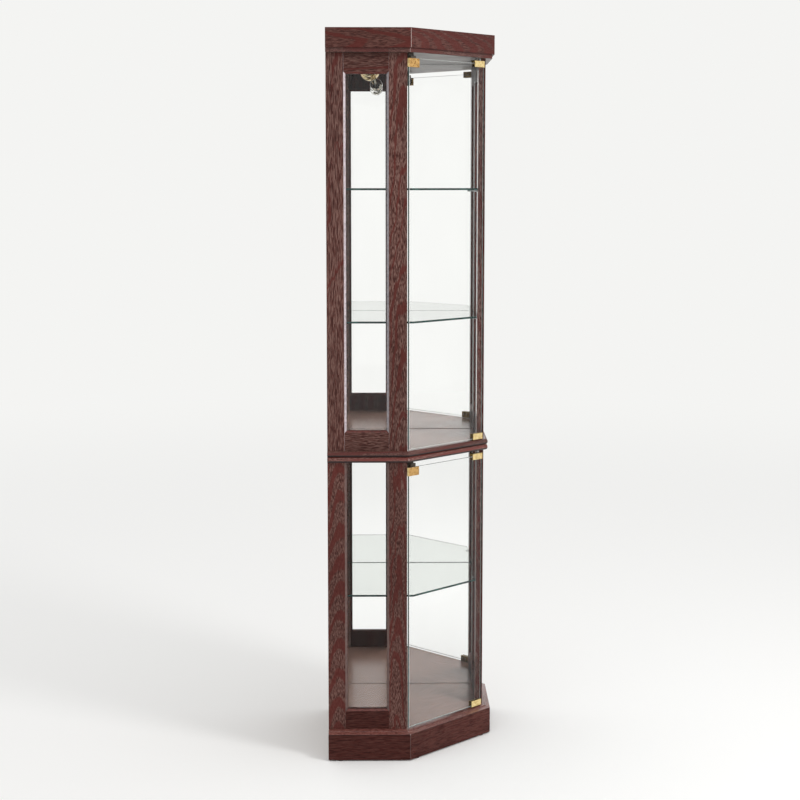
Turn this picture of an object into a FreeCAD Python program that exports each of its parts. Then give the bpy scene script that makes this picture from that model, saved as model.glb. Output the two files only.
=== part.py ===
import FreeCAD, Part
import os
import re
import Sketcher

# Corner curio cabinet, in millimetres. +Z is up, the doors face -Y and the room corner is at +Y.
# The origin is on the floor, under the middle of the cabinet's bounding box.
#
# Three working frames are used:
#   CORNER  its origin is the room corner, x runs along the left wall and y along the right wall
#   FRONT   its origin is the middle of the carcass's front line, x to the right, y into the cabinet
#   LAMP    its origin is the centre of the lamp's dome

DOC = FreeCAD.newDocument("corner_curio_cabinet")
SHEET = DOC.addObject("Spreadsheet::Sheet", "Sizes")

SIZES = {
    # plan of the carcass
    "wall_length": 402.0,
    "side_width": 199.0,
    "crown_overhang": 22.5,
    "cap_overhang": 16.6,
    "bead_overhang": 11.0,
    "base_overhang": 21.0,
    # heights, from the floor up
    "total_height": 1829.0,
    "glide_height": 3.0,
    "plinth_height": 64.5,
    "base_lip": 2.5,
    "base_bevel": 3.0,
    "base_step": 2.0,
    "base_step_overhang": 10.5,
    "lower_height": 685.5,
    "bead_board": 14.5,
    "cap_board": 10.5,
    "crown_height": 48.0,
    # boards of the crown and the plinth
    "fascia_board": 18.0,
    "back_rail": 12.0,
    "joint_gap": 0.2,
    "bead_radius": 7.0,
    "crown_top_board": 6.0,
    "crown_top_recess": 2.0,
    "glide_radius": 8.0,
    "glide_inset": 30.0,
    # side frames
    "frame_board": 19.0,
    "rear_stile": 43.0,
    "front_stile": 45.0,
    "rail_width": 45.5,
    "sight_bevel": 5.5,
    "bevel_depth": 6.0,
    "pane_depth": 9.0,
    "pane_board": 3.0,
    "stop_width": 6.0,
    "pane_gap": 0.5,
    # back
    "back_board": 13.0,
    "mirror_board": 5.0,
    "mirror_gap": 0.5,
    # shelves
    "shelf_board": 5.0,
    "shelf_gap": 2.0,
    "shelf_setback": 4.0,
    "glass_arris": 0.6,
    "upper_shelf_rise": 317.0,
    "upper_shelf_pitch": 329.0,
    "lower_shelf_rise": 337.5,
    "pin_radius": 2.5,
    "pin_depth": 8.0,
    "pin_reach": 9.0,
    "pin_inset": 22.0,
    "corner_block": 16.0,
    "corner_block_height": 8.0,
    # doors
    "door_gap": 1.5,
    "door_board": 5.0,
    "door_left_gap": 0.5,
    "door_right_gap": 12.0,
    # door hinges
    "clamp_width": 37.0,
    "clamp_height": 16.5,
    "clamp_plate": 1.6,
    "clamp_block": 6.0,
    "clamp_web": 2.5,
    "clamp_head": 7.0,
    "clamp_chamfer": 0.8,
    "clamp_foot_gap": 1.2,
    "clamp_head_gap": 6.0,
    "pivot_inset": 8.0,
    "pivot_setback": 1.2,
    "pivot_radius": 2.0,
    "pivot_engagement": 6.0,
    "pivot_in_clamp": 8.0,
    "fit_gap": 0.1,
    "pivot_gap": 0.1,
    "bushing_wall": 1.7,
    "bushing_depth": 8.0,
    "grub_radius": 2.0,
    "grub_spacing": 11.0,
    "grub_inset": 20.0,
    # touch latches
    "strike_width": 36.0,
    "strike_height": 21.5,
    "strike_plate": 1.0,
    "latch_width": 18.0,
    "latch_height": 25.0,
    "latch_length": 45.0,
    "latch_neck": 6.0,
    "latch_neck_inset": 8.0,
    "latch_offset": 25.5,
    "latch_setback": 4.0,
    "plunger_radius": 4.5,
    "plunger_length": 18.2,
    "plunger_travel": 3.0,
    "plunger_gap": 0.3,
    "bore_gap": 0.3,
    # lamp
    "lamp_y": 75.0,
    "dome_radius": 27.0,
    "dome_rise": 9.5,
    "lamp_flange_radius": 34.0,
    "lamp_flange_height": 2.5,
    "lamp_tilt": 20.0,
    "bulb_radius": 17.0,
    "bulb_neck_radius": 7.0,
    "bulb_neck_length": 15.0,
}

# Values that follow from the sizes. MITRE is the tangent of half the 45 degree turn of a front corner.
MITRE = "(sqrt(2) - 1)"
DERIVED = {
    "reach": "max(crown_overhang; base_overhang)",
    "corner_y": "(wall_length + side_width + reach * sqrt(2)) / (2 * sqrt(2))",
    "front_sum": "wall_length + side_width",
    "front_y": "corner_y - front_sum / sqrt(2)",
    "half_front": "(wall_length - side_width) / sqrt(2)",
    # levels
    "base_board_z": "glide_height + plinth_height",
    "lower_deck_z": "base_board_z + base_lip + base_bevel + base_step + base_bevel",
    "lower_top_z": "lower_deck_z + lower_height",
    "upper_board_z": "lower_top_z + bead_board",
    "upper_deck_z": "upper_board_z + bead_board",
    "crown_z": "total_height - crown_height",
    "upper_top_z": "crown_z - cap_board",
    "first_shelf_z": "upper_deck_z + upper_shelf_rise",
    "second_shelf_z": "first_shelf_z + upper_shelf_pitch",
    "lower_shelf_z": "lower_deck_z + lower_shelf_rise",
    # side frames, measured from the wall corner along the side panel's thickness
    "frame_in": "wall_length - frame_board",
    "pane_out": "wall_length - pane_depth",
    "pane_in": "pane_out - pane_board",
    "lip": "wall_length - bevel_depth",
    "sight_rear": "rear_stile + sight_bevel",
    "sight_front": "side_width - front_stile - sight_bevel",
    "rebate_rear": "sight_rear - stop_width",
    "rebate_front": "sight_front + stop_width",
    "mirror_face": "back_board + mirror_board",
    # doors
    "glass_in": "-door_gap",
    "glass_out": "-door_gap - door_board",
    "door_left": "door_left_gap - half_front",
    "door_right": "half_front - door_right_gap",
    "pivot_x": "door_right - pivot_inset",
    "bushing_radius": "pivot_radius + pivot_gap + bushing_wall",
    "latch_x": "door_left + latch_offset",
    "dome_z": "upper_top_z - dome_rise - lamp_flange_height",
}

CORNER = "placement(vector(0; corner_y; 0); rotation(vector(0; 0; 1); -135))"
FRONT = "placement(vector(0; front_y; 0); rotation(vector(0; 0; 1); 0))"
LAMP = "placement(vector(0; lamp_y; dome_z); rotation(vector(0; 0; 1); 0))"
TILTED_LAMP = "placement(vector(0; lamp_y; dome_z); rotation(vector(1; 1; 0); -lamp_tilt))"

PARTS = []


# Working with the sheet


def fill_sheet():
    """Writes every size and its alias into the sheet."""
    for row, (name, value) in enumerate(SIZES.items(), start=1):
        SHEET.set(f"A{row}", name)
        SHEET.set(f"B{row}", str(value))
        SHEET.setAlias(f"B{row}", name)
    DOC.recompute()


def formula(text):
    """Returns the document's expression for a formula written with the names above."""
    def expand(match):
        word = match.group(0)
        if word in DERIVED:
            return "(" + formula(DERIVED[word]) + ")"
        return "Sizes." + word if word in SIZES else word

    return re.sub(r"[a-z][a-z_0-9]*", expand, str(text))


def number(text):
    """Returns the present value of a formula."""
    result = SHEET.evalExpression(formula(text))
    return float(getattr(result, "Value", result))


# Building bodies


def new_body(label, frame):
    """Starts a piece in one of the working frames."""
    body = DOC.addObject("PartDesign::Body", label)
    body.Label = label
    body.AllowCompound = True
    body.setExpression("Placement", formula(frame))
    PARTS.append(body)
    return body


def new_sketch(body, plane, offset):
    """Adds an empty sketch on one of the body's own planes, moved along the plane's normal."""
    sketch = body.newObject("Sketcher::SketchObject", "Sketch")
    origin = next(item for item in body.Origin.OriginFeatures if item.Role == plane)
    sketch.AttachmentSupport = (origin, [""])
    sketch.MapMode = "FlatFace"
    sketch.setExpression(".AttachmentOffset.Base.z", formula(offset))
    return sketch


def pin_point(sketch, index, position, x, y):
    """Ties one point of a sketch to its two formulas."""
    for kind, text in (("DistanceX", x), ("DistanceY", y)):
        rule = sketch.addConstraint(Sketcher.Constraint(kind, -1, 1, index, position, number(text)))
        sketch.setExpression(f"Constraints[{rule}]", formula(text))


def draw_polygon(sketch, points):
    """Draws a closed outline whose corners are pairs of formulas."""
    first = sketch.GeometryCount
    corners = [FreeCAD.Vector(number(x), number(y), 0) for x, y in points]
    for index, corner in enumerate(corners):
        sketch.addGeometry(Part.LineSegment(corner, corners[(index + 1) % len(corners)]), False)
    for index in range(len(points)):
        follower = first + (index + 1) % len(points)
        sketch.addConstraint(Sketcher.Constraint("Coincident", first + index, 2, follower, 1))
    for index, (x, y) in enumerate(points):
        pin_point(sketch, first + index, 1, x, y)


def draw_circle(sketch, x, y, radius):
    """Draws a circle whose centre and radius are formulas."""
    centre = FreeCAD.Vector(number(x), number(y), 0)
    index = sketch.addGeometry(Part.Circle(centre, FreeCAD.Vector(0, 0, 1), number(radius)), False)
    pin_point(sketch, index, 3, x, y)
    rule = sketch.addConstraint(Sketcher.Constraint("Radius", index, number(radius)))
    sketch.setExpression(f"Constraints[{rule}]", formula(radius))


def extrude(body, plane, start, length, polygons=(), circles=()):
    """Adds a pad from start to start + length along the body's own axis across the plane."""
    backwards = plane == "XZ_Plane"
    offset = f"-(({start}) + ({length}))" if backwards else start
    sketch = new_sketch(body, plane, offset)
    for points in polygons:
        draw_polygon(sketch, points)
    for circle in circles:
        draw_circle(sketch, *circle)
    pad = body.newObject("PartDesign::Pad", "Pad")
    pad.Profile = sketch
    pad.setExpression("Length", formula(length))
    return pad


def cut(body, plane, start, length, polygons=(), circles=()):
    """Removes the same solid that extrude would add."""
    backwards = plane == "XZ_Plane"
    offset = f"-(({start}) + ({length}))" if backwards else start
    DOC.recompute()
    before = body.Shape.Volume
    sketch = new_sketch(body, plane, offset)
    for points in polygons:
        draw_polygon(sketch, points)
    for circle in circles:
        draw_circle(sketch, *circle)
    pocket = body.newObject("PartDesign::Pocket", "Pocket")
    pocket.Profile = sketch
    pocket.Reversed = True
    pocket.setExpression("Length", formula(length))
    DOC.recompute()
    if body.Shape.Volume >= before:
        raise RuntimeError(f"{body.Label}: a pocket removed nothing")
    return pocket


def bevel_edges(body, size, wanted):
    """Chamfers the edges of the body that pass a test."""
    dress_edges(body, "PartDesign::Chamfer", "Size", size, wanted)


def round_edges(body, radius, wanted):
    """Rounds the edges of the body that pass a test."""
    dress_edges(body, "PartDesign::Fillet", "Radius", radius, wanted)


def dress_edges(body, kind, size_name, size, wanted):
    """Adds a chamfer or a fillet on the edges of the body's tip that pass a test."""
    DOC.recompute()
    base = body.Tip
    names = [f"Edge{index}" for index, edge in enumerate(base.Shape.Edges, start=1) if wanted(edge)]
    feature = body.newObject(kind, "Edges")
    feature.Base = (base, names)
    feature.setExpression(size_name, formula(size))


def block(label, frame, x, y, z):
    """Makes a rectangular piece from three pairs of formulas: start and length."""
    body = new_body(label, frame)
    extrude(body, "XY_Plane", z[0], z[1], [rectangle(x[0], x[1], y[0], y[1])])
    return body


def rectangle(x, width, y, depth):
    """Returns the corners of a rectangle from its start and its size both ways."""
    right = f"{x} + {width}"
    back = f"{y} + {depth}"
    return [(x, y), (right, y), (right, back), (x, back)]


def mirrored(label, source):
    """Makes the right-hand twin of a left-hand piece."""
    twin = DOC.addObject("Part::Mirroring", label)
    twin.Label = label
    twin.Source = source
    twin.Normal = FreeCAD.Vector(1, 0, 0)
    PARTS.append(twin)
    return twin


def is_level(edge):
    """Tells whether an edge lies in a horizontal plane."""
    return abs(edge.Vertexes[0].Z - edge.Vertexes[-1].Z) < 1e-6


# Plan outlines, in the CORNER frame


def board_outline(overhang):
    """Returns the outline of a full board that overhangs the sides and the front."""
    long_side = f"wall_length + {overhang}"
    short_side = f"side_width + {overhang} * {MITRE}"
    return [
        ("0", "0"),
        (long_side, "0"),
        (long_side, short_side),
        (short_side, long_side),
        ("0", long_side),
    ]


def inner_outline(wall, side, setback):
    """Returns an outline inside the carcass, at given distances from its walls, sides and front."""
    side_line = f"wall_length - ({side})"
    vertex = f"front_sum - ({setback}) * sqrt(2) - ({side_line})"
    return [(wall, wall), (side_line, wall), (side_line, vertex), (vertex, side_line), (wall, side_line)]


def side_fascia_outline(overhang):
    """Returns the outline of the left fascia board, mitred at the front corner."""
    outer = f"wall_length + {overhang}"
    vertex = f"side_width + {overhang} * {MITRE}"
    inner = f"{outer} - fascia_board"
    return [(outer, "0"), (outer, vertex), (inner, f"{vertex} - fascia_board * {MITRE}"), (inner, "0")]


def front_fascia_outline(overhang):
    """Returns the outline of the front fascia board, mitred at both ends."""
    outer = f"wall_length + {overhang}"
    vertex = f"side_width + {overhang} * {MITRE}"
    inner = f"{outer} - fascia_board"
    inner_vertex = f"{vertex} - fascia_board * {MITRE}"
    return [(outer, vertex), (vertex, outer), (inner_vertex, inner), (inner, inner_vertex)]


def wall_pair_outlines(board, end):
    """Returns the outlines of two boards along the walls, butted at the room corner."""
    turn = f"{board} + joint_gap"
    left = [("0", "0"), (end, "0"), (end, board), ("0", board)]
    right = [("0", turn), (board, turn), (board, end), ("0", end)]
    return [left, right]


# Boards, crown and plinth


def is_bead_edge(edge):
    """Tells whether a level edge belongs to the sides or the front, and not to a wall side."""
    ends = [vertex.Point for vertex in edge.Vertexes]
    on_left_wall = all(abs(point.y) < 1e-6 for point in ends)
    on_right_wall = all(abs(point.x) < 1e-6 for point in ends)
    return is_level(edge) and not on_left_wall and not on_right_wall


def make_base_board():
    """Makes the floor of the lower section, with a lip and two bevels that step in to the carcass."""
    body = new_body("lower_deck", CORNER)
    extrude(body, "XY_Plane", "base_board_z", "base_lip", [board_outline("base_overhang")])
    add_bevel(body, "base_board_z + base_lip", "base_overhang", "base_step_overhang")
    extrude(body, "XY_Plane", "base_board_z + base_lip + base_bevel", "base_step",
            [board_outline("base_step_overhang")])
    add_bevel(body, "lower_deck_z - base_bevel", "base_step_overhang", "0")
    cut_bushing_hole(body, "lower_deck_z - bushing_depth")


def add_bevel(body, bottom, wide, narrow):
    """Adds a slope that narrows a full board from one overhang to another."""
    low = new_sketch(body, "XY_Plane", bottom)
    draw_polygon(low, board_outline(wide))
    high = new_sketch(body, "XY_Plane", f"{bottom} + base_bevel")
    draw_polygon(high, board_outline(narrow))
    bevel = body.newObject("PartDesign::AdditiveLoft", "Bevel")
    bevel.Profile = low
    bevel.Sections = [high]
    bevel.Ruled = True


def make_bead_board(label, bottom, bushing_bottom):
    """Makes a full board whose sides and front end in a half-round bead."""
    body = new_body(label, CORNER)
    extrude(body, "XY_Plane", bottom, "bead_board", [board_outline("bead_overhang")])
    round_edges(body, "bead_radius", is_bead_edge)
    cut_bushing_hole(body, bushing_bottom)


def make_cap_board():
    """Makes the ceiling of the upper section, which shows as a thin moulding under the crown."""
    body = new_body("ceiling_board", CORNER)
    extrude(body, "XY_Plane", "upper_top_z", "cap_board", [board_outline("cap_overhang")])
    cut_bushing_hole(body, "upper_top_z")


def cut_bushing_hole(body, bottom):
    """Bores a board for the bushing of a door pivot."""
    across = "(front_sum - pivot_setback * sqrt(2)) / 2"
    along = "pivot_x / sqrt(2)"
    centre = (f"{across} - {along}", f"{across} + {along}", "bushing_radius")
    cut(body, "XY_Plane", bottom, "bushing_depth", circles=[centre])


def make_fascias(prefix, overhang, bottom, height):
    """Makes the left, right and front fascia boards and the two rails along the walls."""
    left = new_body(f"{prefix}_left", CORNER)
    extrude(left, "XY_Plane", bottom, height, [side_fascia_outline(overhang)])
    mirrored(f"{prefix}_right", left)
    front = new_body(f"{prefix}_front", CORNER)
    extrude(front, "XY_Plane", bottom, height, [front_fascia_outline(overhang)])
    rails = new_body(f"{prefix}_back_rails", CORNER)
    end = f"wall_length + {overhang} - fascia_board"
    extrude(rails, "XY_Plane", bottom, height, wall_pair_outlines("back_rail", end))


def make_crown_top():
    """Makes the thin panel that closes the top of the crown."""
    side = "fascia_board - crown_overhang"
    body = new_body("crown_top", CORNER)
    outline = inner_outline("back_rail + joint_gap", side, side)
    top = "total_height - crown_top_recess - crown_top_board"
    extrude(body, "XY_Plane", top, "crown_top_board", [outline])


def make_glides():
    """Makes the five glides under the plinth: wall ends, front ends and room corner."""
    middle = "wall_length + base_overhang - fascia_board / 2"
    vertex = f"side_width + base_overhang * {MITRE}"
    front_x = f"wall_length + base_overhang - (glide_inset + fascia_board / 2) / sqrt(2)"
    front_y = f"{vertex} + (glide_inset - fascia_board / 2) / sqrt(2)"
    centres = [
        (middle, "glide_inset"),
        ("glide_inset", middle),
        (front_x, front_y),
        (front_y, front_x),
        ("back_rail", "back_rail"),
    ]
    body = new_body("glides", CORNER)
    circles = [(x, y, "glide_radius") for x, y in centres]
    extrude(body, "XY_Plane", "0", "glide_height", circles=circles)


# Side frames


def rear_stile_outline():
    """Returns the section of the stile at the wall, bevelled and rebated towards the pane."""
    return [
        ("wall_length", "0"),
        ("wall_length", "rear_stile"),
        ("lip", "sight_rear"),
        ("pane_out", "sight_rear"),
        ("pane_out", "rebate_rear"),
        ("frame_in", "rebate_rear"),
        ("frame_in", "0"),
    ]


def front_stile_outline():
    """Returns the section of the stile at the door, bevelled and rebated towards the pane."""
    return [
        ("wall_length", "side_width"),
        ("wall_length", "side_width - front_stile"),
        ("lip", "sight_front"),
        ("pane_out", "sight_front"),
        ("pane_out", "rebate_front"),
        ("frame_in", "rebate_front"),
        ("frame_in", "side_width"),
    ]


def rail_outline():
    """Returns the plan of a rail, coped over the sections of both stiles."""
    rear = rear_stile_outline()[1:6]
    front = front_stile_outline()[1:6]
    return rear + front[::-1]


def bore_pin_holes(body, across, shelf_levels):
    """Bores a stile from the inside for one shelf pin under each shelf."""
    circles = [(across, f"{level} - pin_radius", "pin_radius") for level in shelf_levels]
    cut(body, "YZ_Plane", "frame_in", "pin_depth", circles=circles)


def make_stile(label, outline, bottom, height, pin_line, shelf_levels):
    """Makes a left-hand stile with its pin holes, and its twin."""
    body = new_body(f"{label}_left", CORNER)
    extrude(body, "XY_Plane", bottom, height, [outline])
    bore_pin_holes(body, pin_line, shelf_levels)
    mirrored(f"{label}_right", body)


def make_rail(label, edge, direction):
    """Makes a left-hand rail from its outer edge inwards (+1 up, -1 down), and its twin."""
    flat = f"{edge} + {direction} * rail_width"
    sight = f"{flat} + {direction} * sight_bevel"
    rebate = f"{sight} - {direction} * stop_width"
    bottom = edge if direction > 0 else sight
    body = new_body(f"{label}_left", CORNER)
    extrude(body, "XY_Plane", bottom, "rail_width + sight_bevel", [rail_outline()])
    bevel = [("wall_length", flat), ("wall_length", sight), ("lip", sight)]
    channel = [("pane_out", rebate), ("pane_out", sight), ("frame_in", sight), ("frame_in", rebate)]
    cut(body, "XZ_Plane", "0", "side_width", [bevel, channel])
    mirrored(f"{label}_right", body)


def make_pane(label, bottom, top):
    """Makes a left-hand glass pane between two levels, and its twin."""
    body = new_body(f"{label}_left", CORNER)
    across = rectangle("rebate_rear + pane_gap", "rebate_front - rebate_rear - 2 * pane_gap",
                       bottom, f"({top}) - ({bottom})")
    extrude(body, "YZ_Plane", "pane_in", "pane_board", [across])
    mirrored(f"{label}_right", body)


def stop_rectangles(bottom, top, has_top_rail):
    """Returns the glass stops of one window: two upright strips and one or two level ones."""
    rise = f"({top}) - ({bottom})"
    span = "sight_front - sight_rear - 2 * joint_gap"
    strips = [
        rectangle("rebate_rear", "stop_width", bottom, rise),
        rectangle("sight_front", "stop_width", bottom, rise),
        rectangle("sight_rear + joint_gap", span, bottom, "stop_width"),
    ]
    if has_top_rail:
        strips.append(rectangle("sight_rear + joint_gap", span, f"({top}) - stop_width", "stop_width"))
    return strips


def make_side_frames():
    """Makes the stiles, rails, panes and stops of both sections."""
    upper_height = "upper_top_z - upper_deck_z"
    upper_shelves = ["first_shelf_z", "second_shelf_z"]
    front_pin = "side_width - pin_inset"
    sections = (
        ("upper", "upper_deck_z", upper_height, upper_shelves),
        ("lower", "lower_deck_z", "lower_height", ["lower_shelf_z"]),
    )
    for name, bottom, height, shelves in sections:
        make_stile(f"{name}_rear_stile", rear_stile_outline(), bottom, height, "pin_inset", shelves)
        make_stile(f"{name}_front_stile", front_stile_outline(), bottom, height, front_pin, shelves)
        make_rail(f"{name}_bottom_rail", bottom, 1)
    make_rail("upper_top_rail", "upper_top_z", -1)

    depth = "rail_width + sight_bevel - stop_width"
    upper_window = (f"upper_deck_z + {depth}", f"upper_top_z - ({depth})")
    lower_window = (f"lower_deck_z + {depth}", "lower_top_z")
    make_pane("upper_pane", f"{upper_window[0]} + pane_gap", f"{upper_window[1]} - pane_gap")
    make_pane("lower_pane", f"{lower_window[0]} + pane_gap", f"{lower_window[1]} - pane_gap")
    strips = stop_rectangles(*upper_window, True) + stop_rectangles(*lower_window, False)
    stops = new_body("glass_stops_left", CORNER)
    extrude(stops, "YZ_Plane", "frame_in", "pane_in - frame_in", strips)
    mirrored("glass_stops_right", stops)


# Back, mirrors and shelves


def make_back(name, bottom, height):
    """Makes the back boards of one section and the two mirrors in front of them."""
    boards = new_body(f"{name}_back_boards", CORNER)
    extrude(boards, "XY_Plane", bottom, height, wall_pair_outlines("back_board", "frame_in"))
    start = f"{bottom} + mirror_gap"
    rise = f"{height} - 2 * mirror_gap"
    end = "frame_in - mirror_gap"
    board = ("back_board", "mirror_board")
    left_length = f"{end} - back_board"
    right_start = "mirror_face + mirror_gap"
    block(f"{name}_mirror_left", CORNER, ("back_board", left_length), board, (start, rise))
    block(f"{name}_mirror_right", CORNER, board, (right_start, f"{end} - ({right_start})"), (start, rise))


def make_shelf(label, level):
    """Makes a five-sided glass shelf with ground edges."""
    outline = inner_outline("mirror_face + shelf_gap", "frame_board + shelf_gap", "shelf_setback")
    body = new_body(label, CORNER)
    extrude(body, "XY_Plane", level, "shelf_board", [outline])
    bevel_edges(body, "glass_arris", is_level)


def make_shelf_supports(levels):
    """Makes the pins in the stiles and the block in the room corner under every shelf."""
    body = new_body("shelf_supports", CORNER)
    start = "frame_in - pin_reach"
    length = "pin_reach + pin_depth"
    lines = ("pin_inset", "side_width - pin_inset")
    circles = [(line, f"{level} - pin_radius", "pin_radius") for line in lines for level in levels]
    extrude(body, "YZ_Plane", start, length, circles=circles)
    extrude(body, "XZ_Plane", start, length, circles=circles)
    far = "mirror_face + corner_block"
    near = "mirror_face + mirror_gap"
    corner = [(near, near), (far, near), (near, far)]
    for level in levels:
        extrude(body, "XY_Plane", f"{level} - corner_block_height", "corner_block_height", [corner])


# Doors, in the FRONT frame


def make_door_glass(label, bottom, top):
    """Makes a frameless glass door leaf with ground edges."""
    body = new_body(label, FRONT)
    outline = rectangle("door_left", "door_right - door_left", bottom, f"({top}) - ({bottom})")
    extrude(body, "XZ_Plane", "glass_out", "door_board", [outline])
    bevel_edges(body, "glass_arris", lambda edge: edge.Length > number("door_board") + 1)


def grub_holes(level):
    """Returns where the two grub screws of a clamp are, across its width."""
    first = "door_right - grub_inset"
    return [(first, level), (f"{first} - grub_spacing", level)]


def make_clamp(label, edge, direction, web):
    """Makes a hinge clamp round the glass, from its closed edge towards the leaf (+1 up, -1 down)."""
    far = f"{edge} + {direction} * clamp_height"
    floor = f"{edge} + {direction} * {web}"
    outer = "glass_out - clamp_plate"
    inner = "glass_in + clamp_block"
    profile = [
        (outer, edge),
        (inner, edge),
        (inner, far),
        ("glass_in", far),
        ("glass_in", floor),
        ("glass_out", floor),
        ("glass_out", far),
        (outer, far),
    ]
    body = new_body(label, FRONT)
    extrude(body, "YZ_Plane", "door_right - clamp_width", "clamp_width", [profile])
    outer_y = number(outer)
    bevel_edges(body, "clamp_chamfer",
                lambda piece: all(abs(vertex.Y - outer_y) < 1e-6 for vertex in piece.Vertexes))
    start = edge if direction > 0 else f"{edge} - pivot_in_clamp"
    bore = ("pivot_x", "pivot_setback", "pivot_radius + fit_gap")
    cut(body, "XY_Plane", start, "pivot_in_clamp", circles=[bore])
    screws = [(x, z, "grub_radius + fit_gap") for x, z in grub_holes(grub_level(edge, direction))]
    cut(body, "XZ_Plane", "glass_in", "clamp_block", circles=screws)


def grub_level(edge, direction):
    """Returns the height of a clamp's grub screws."""
    return f"{edge} + {direction} * (clamp_height + clamp_web) / 2"


def make_hinge_hardware(label, clamps):
    """Makes the pivots and grub screws of one door. A clamp is its edge, its direction and its gap."""
    body = new_body(label, FRONT)
    for edge, direction, gap in clamps:
        length = f"pivot_in_clamp + {gap} + pivot_engagement"
        start = f"{edge} - {gap} - pivot_engagement" if direction > 0 else f"{edge} - pivot_in_clamp"
        extrude(body, "XY_Plane", start, length, circles=[("pivot_x", "pivot_setback", "pivot_radius")])
    screws = [(x, z, "grub_radius") for edge, direction, _ in clamps
              for x, z in grub_holes(grub_level(edge, direction))]
    extrude(body, "XZ_Plane", "glass_in", "clamp_block", circles=screws)


def make_strike(label, top):
    """Makes the clip on the free edge of a door leaf that the touch latch holds."""
    outer = "door_left - strike_plate"
    far = "door_left - strike_plate + strike_width"
    front = "glass_out - strike_plate"
    back = "glass_in + strike_plate"
    profile = [
        (outer, front),
        (far, front),
        (far, "glass_out"),
        ("door_left", "glass_out"),
        ("door_left", "glass_in"),
        (far, "glass_in"),
        (far, back),
        (outer, back),
    ]
    body = new_body(label, FRONT)
    extrude(body, "XY_Plane", f"{top} - strike_height", "strike_height", [profile])


def make_door(name, deck, head):
    """Makes one door between the board below it and the board above it."""
    foot_edge = f"{deck} + clamp_foot_gap"
    head_edge = f"{head} - clamp_head_gap"
    glass_top = f"{head_edge} - clamp_head"
    make_door_glass(f"{name}_door_glass", f"{foot_edge} + clamp_web", glass_top)
    make_clamp(f"{name}_door_bottom_clamp", foot_edge, 1, "clamp_web")
    make_clamp(f"{name}_door_top_clamp", head_edge, -1, "clamp_head")
    clamps = ((foot_edge, 1, "clamp_foot_gap"), (head_edge, -1, "clamp_head_gap"))
    make_hinge_hardware(f"{name}_door_hinge_pins", clamps)
    make_strike(f"{name}_door_strike", glass_top)


def make_bushings(bottoms):
    """Makes the bushings of the door pivots, one in each board that a pivot enters."""
    body = new_body("pivot_bushings", FRONT)
    for bottom in bottoms:
        extrude(body, "XY_Plane", bottom, "bushing_depth",
                circles=[("pivot_x", "pivot_setback", "bushing_radius")])
        cut(body, "XY_Plane", bottom, "bushing_depth",
            circles=[("pivot_x", "pivot_setback", "pivot_radius + pivot_gap")])


# Touch latches, in the FRONT frame


def plunger_level(head):
    """Returns the height of a latch plunger under the board above the door."""
    return f"{head} - latch_neck - latch_height / 2"


def make_latches(heads):
    """Makes both latch housings, each hung from a board by its neck, and their plungers."""
    housings = new_body("latch_housings", FRONT)
    left = "latch_x - latch_width / 2"
    for head in heads:
        top = f"{head} - latch_neck"
        bottom = f"{top} - latch_height"
        back = "latch_setback + latch_length"
        profile = [
            ("latch_setback", bottom),
            (back, bottom),
            (back, top),
            (f"{back} - latch_neck_inset", top),
            (f"{back} - latch_neck_inset", head),
            ("latch_setback + latch_neck_inset", head),
            ("latch_setback + latch_neck_inset", top),
            ("latch_setback", top),
        ]
        extrude(housings, "YZ_Plane", left, "latch_width", [profile])
    tip = "glass_in + strike_plate + plunger_gap"
    bore_end = f"{tip} + plunger_length + 2 * plunger_travel"
    bores = [("latch_x", plunger_level(head), "plunger_radius + bore_gap") for head in heads]
    cut(housings, "XZ_Plane", "latch_setback", f"{bore_end} - latch_setback", circles=bores)
    for name, head in zip(("upper", "lower"), heads):
        plunger = new_body(f"{name}_latch_plunger", FRONT)
        extrude(plunger, "XZ_Plane", tip, "plunger_length",
                circles=[("latch_x", plunger_level(head), "plunger_radius")])


# Lamp


def add_ball(body, radius, height):
    """Adds a sphere on the body's own Z axis."""
    ball = body.newObject("PartDesign::AdditiveSphere", "Ball")
    ball.setExpression("Radius", formula(radius))
    ball.setExpression("Placement", formula(f"placement(vector(0; 0; {height}); rotation(0; 0; 0))"))


def make_lamp():
    """Makes the domed lamp holder under the ceiling and the bulb that hangs from it."""
    holder = new_body("lamp_holder", LAMP)
    add_ball(holder, "dome_radius", "0")
    extrude(holder, "XY_Plane", "0", "dome_rise", circles=[("0", "0", "dome_radius")])
    extrude(holder, "XY_Plane", "dome_rise", "lamp_flange_height",
            circles=[("0", "0", "lamp_flange_radius")])
    cut(holder, "XY_Plane", "dome_rise + lamp_flange_height", "dome_radius",
        circles=[("0", "0", "dome_radius")])

    bulb = new_body("lamp_bulb", TILTED_LAMP)
    extrude(bulb, "XY_Plane", "-dome_radius - bulb_neck_length", "bulb_neck_length",
            circles=[("0", "0", "bulb_neck_radius")])
    add_ball(bulb, "bulb_radius", "-dome_radius - bulb_neck_length / 2 - bulb_radius")


# The whole cabinet


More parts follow.
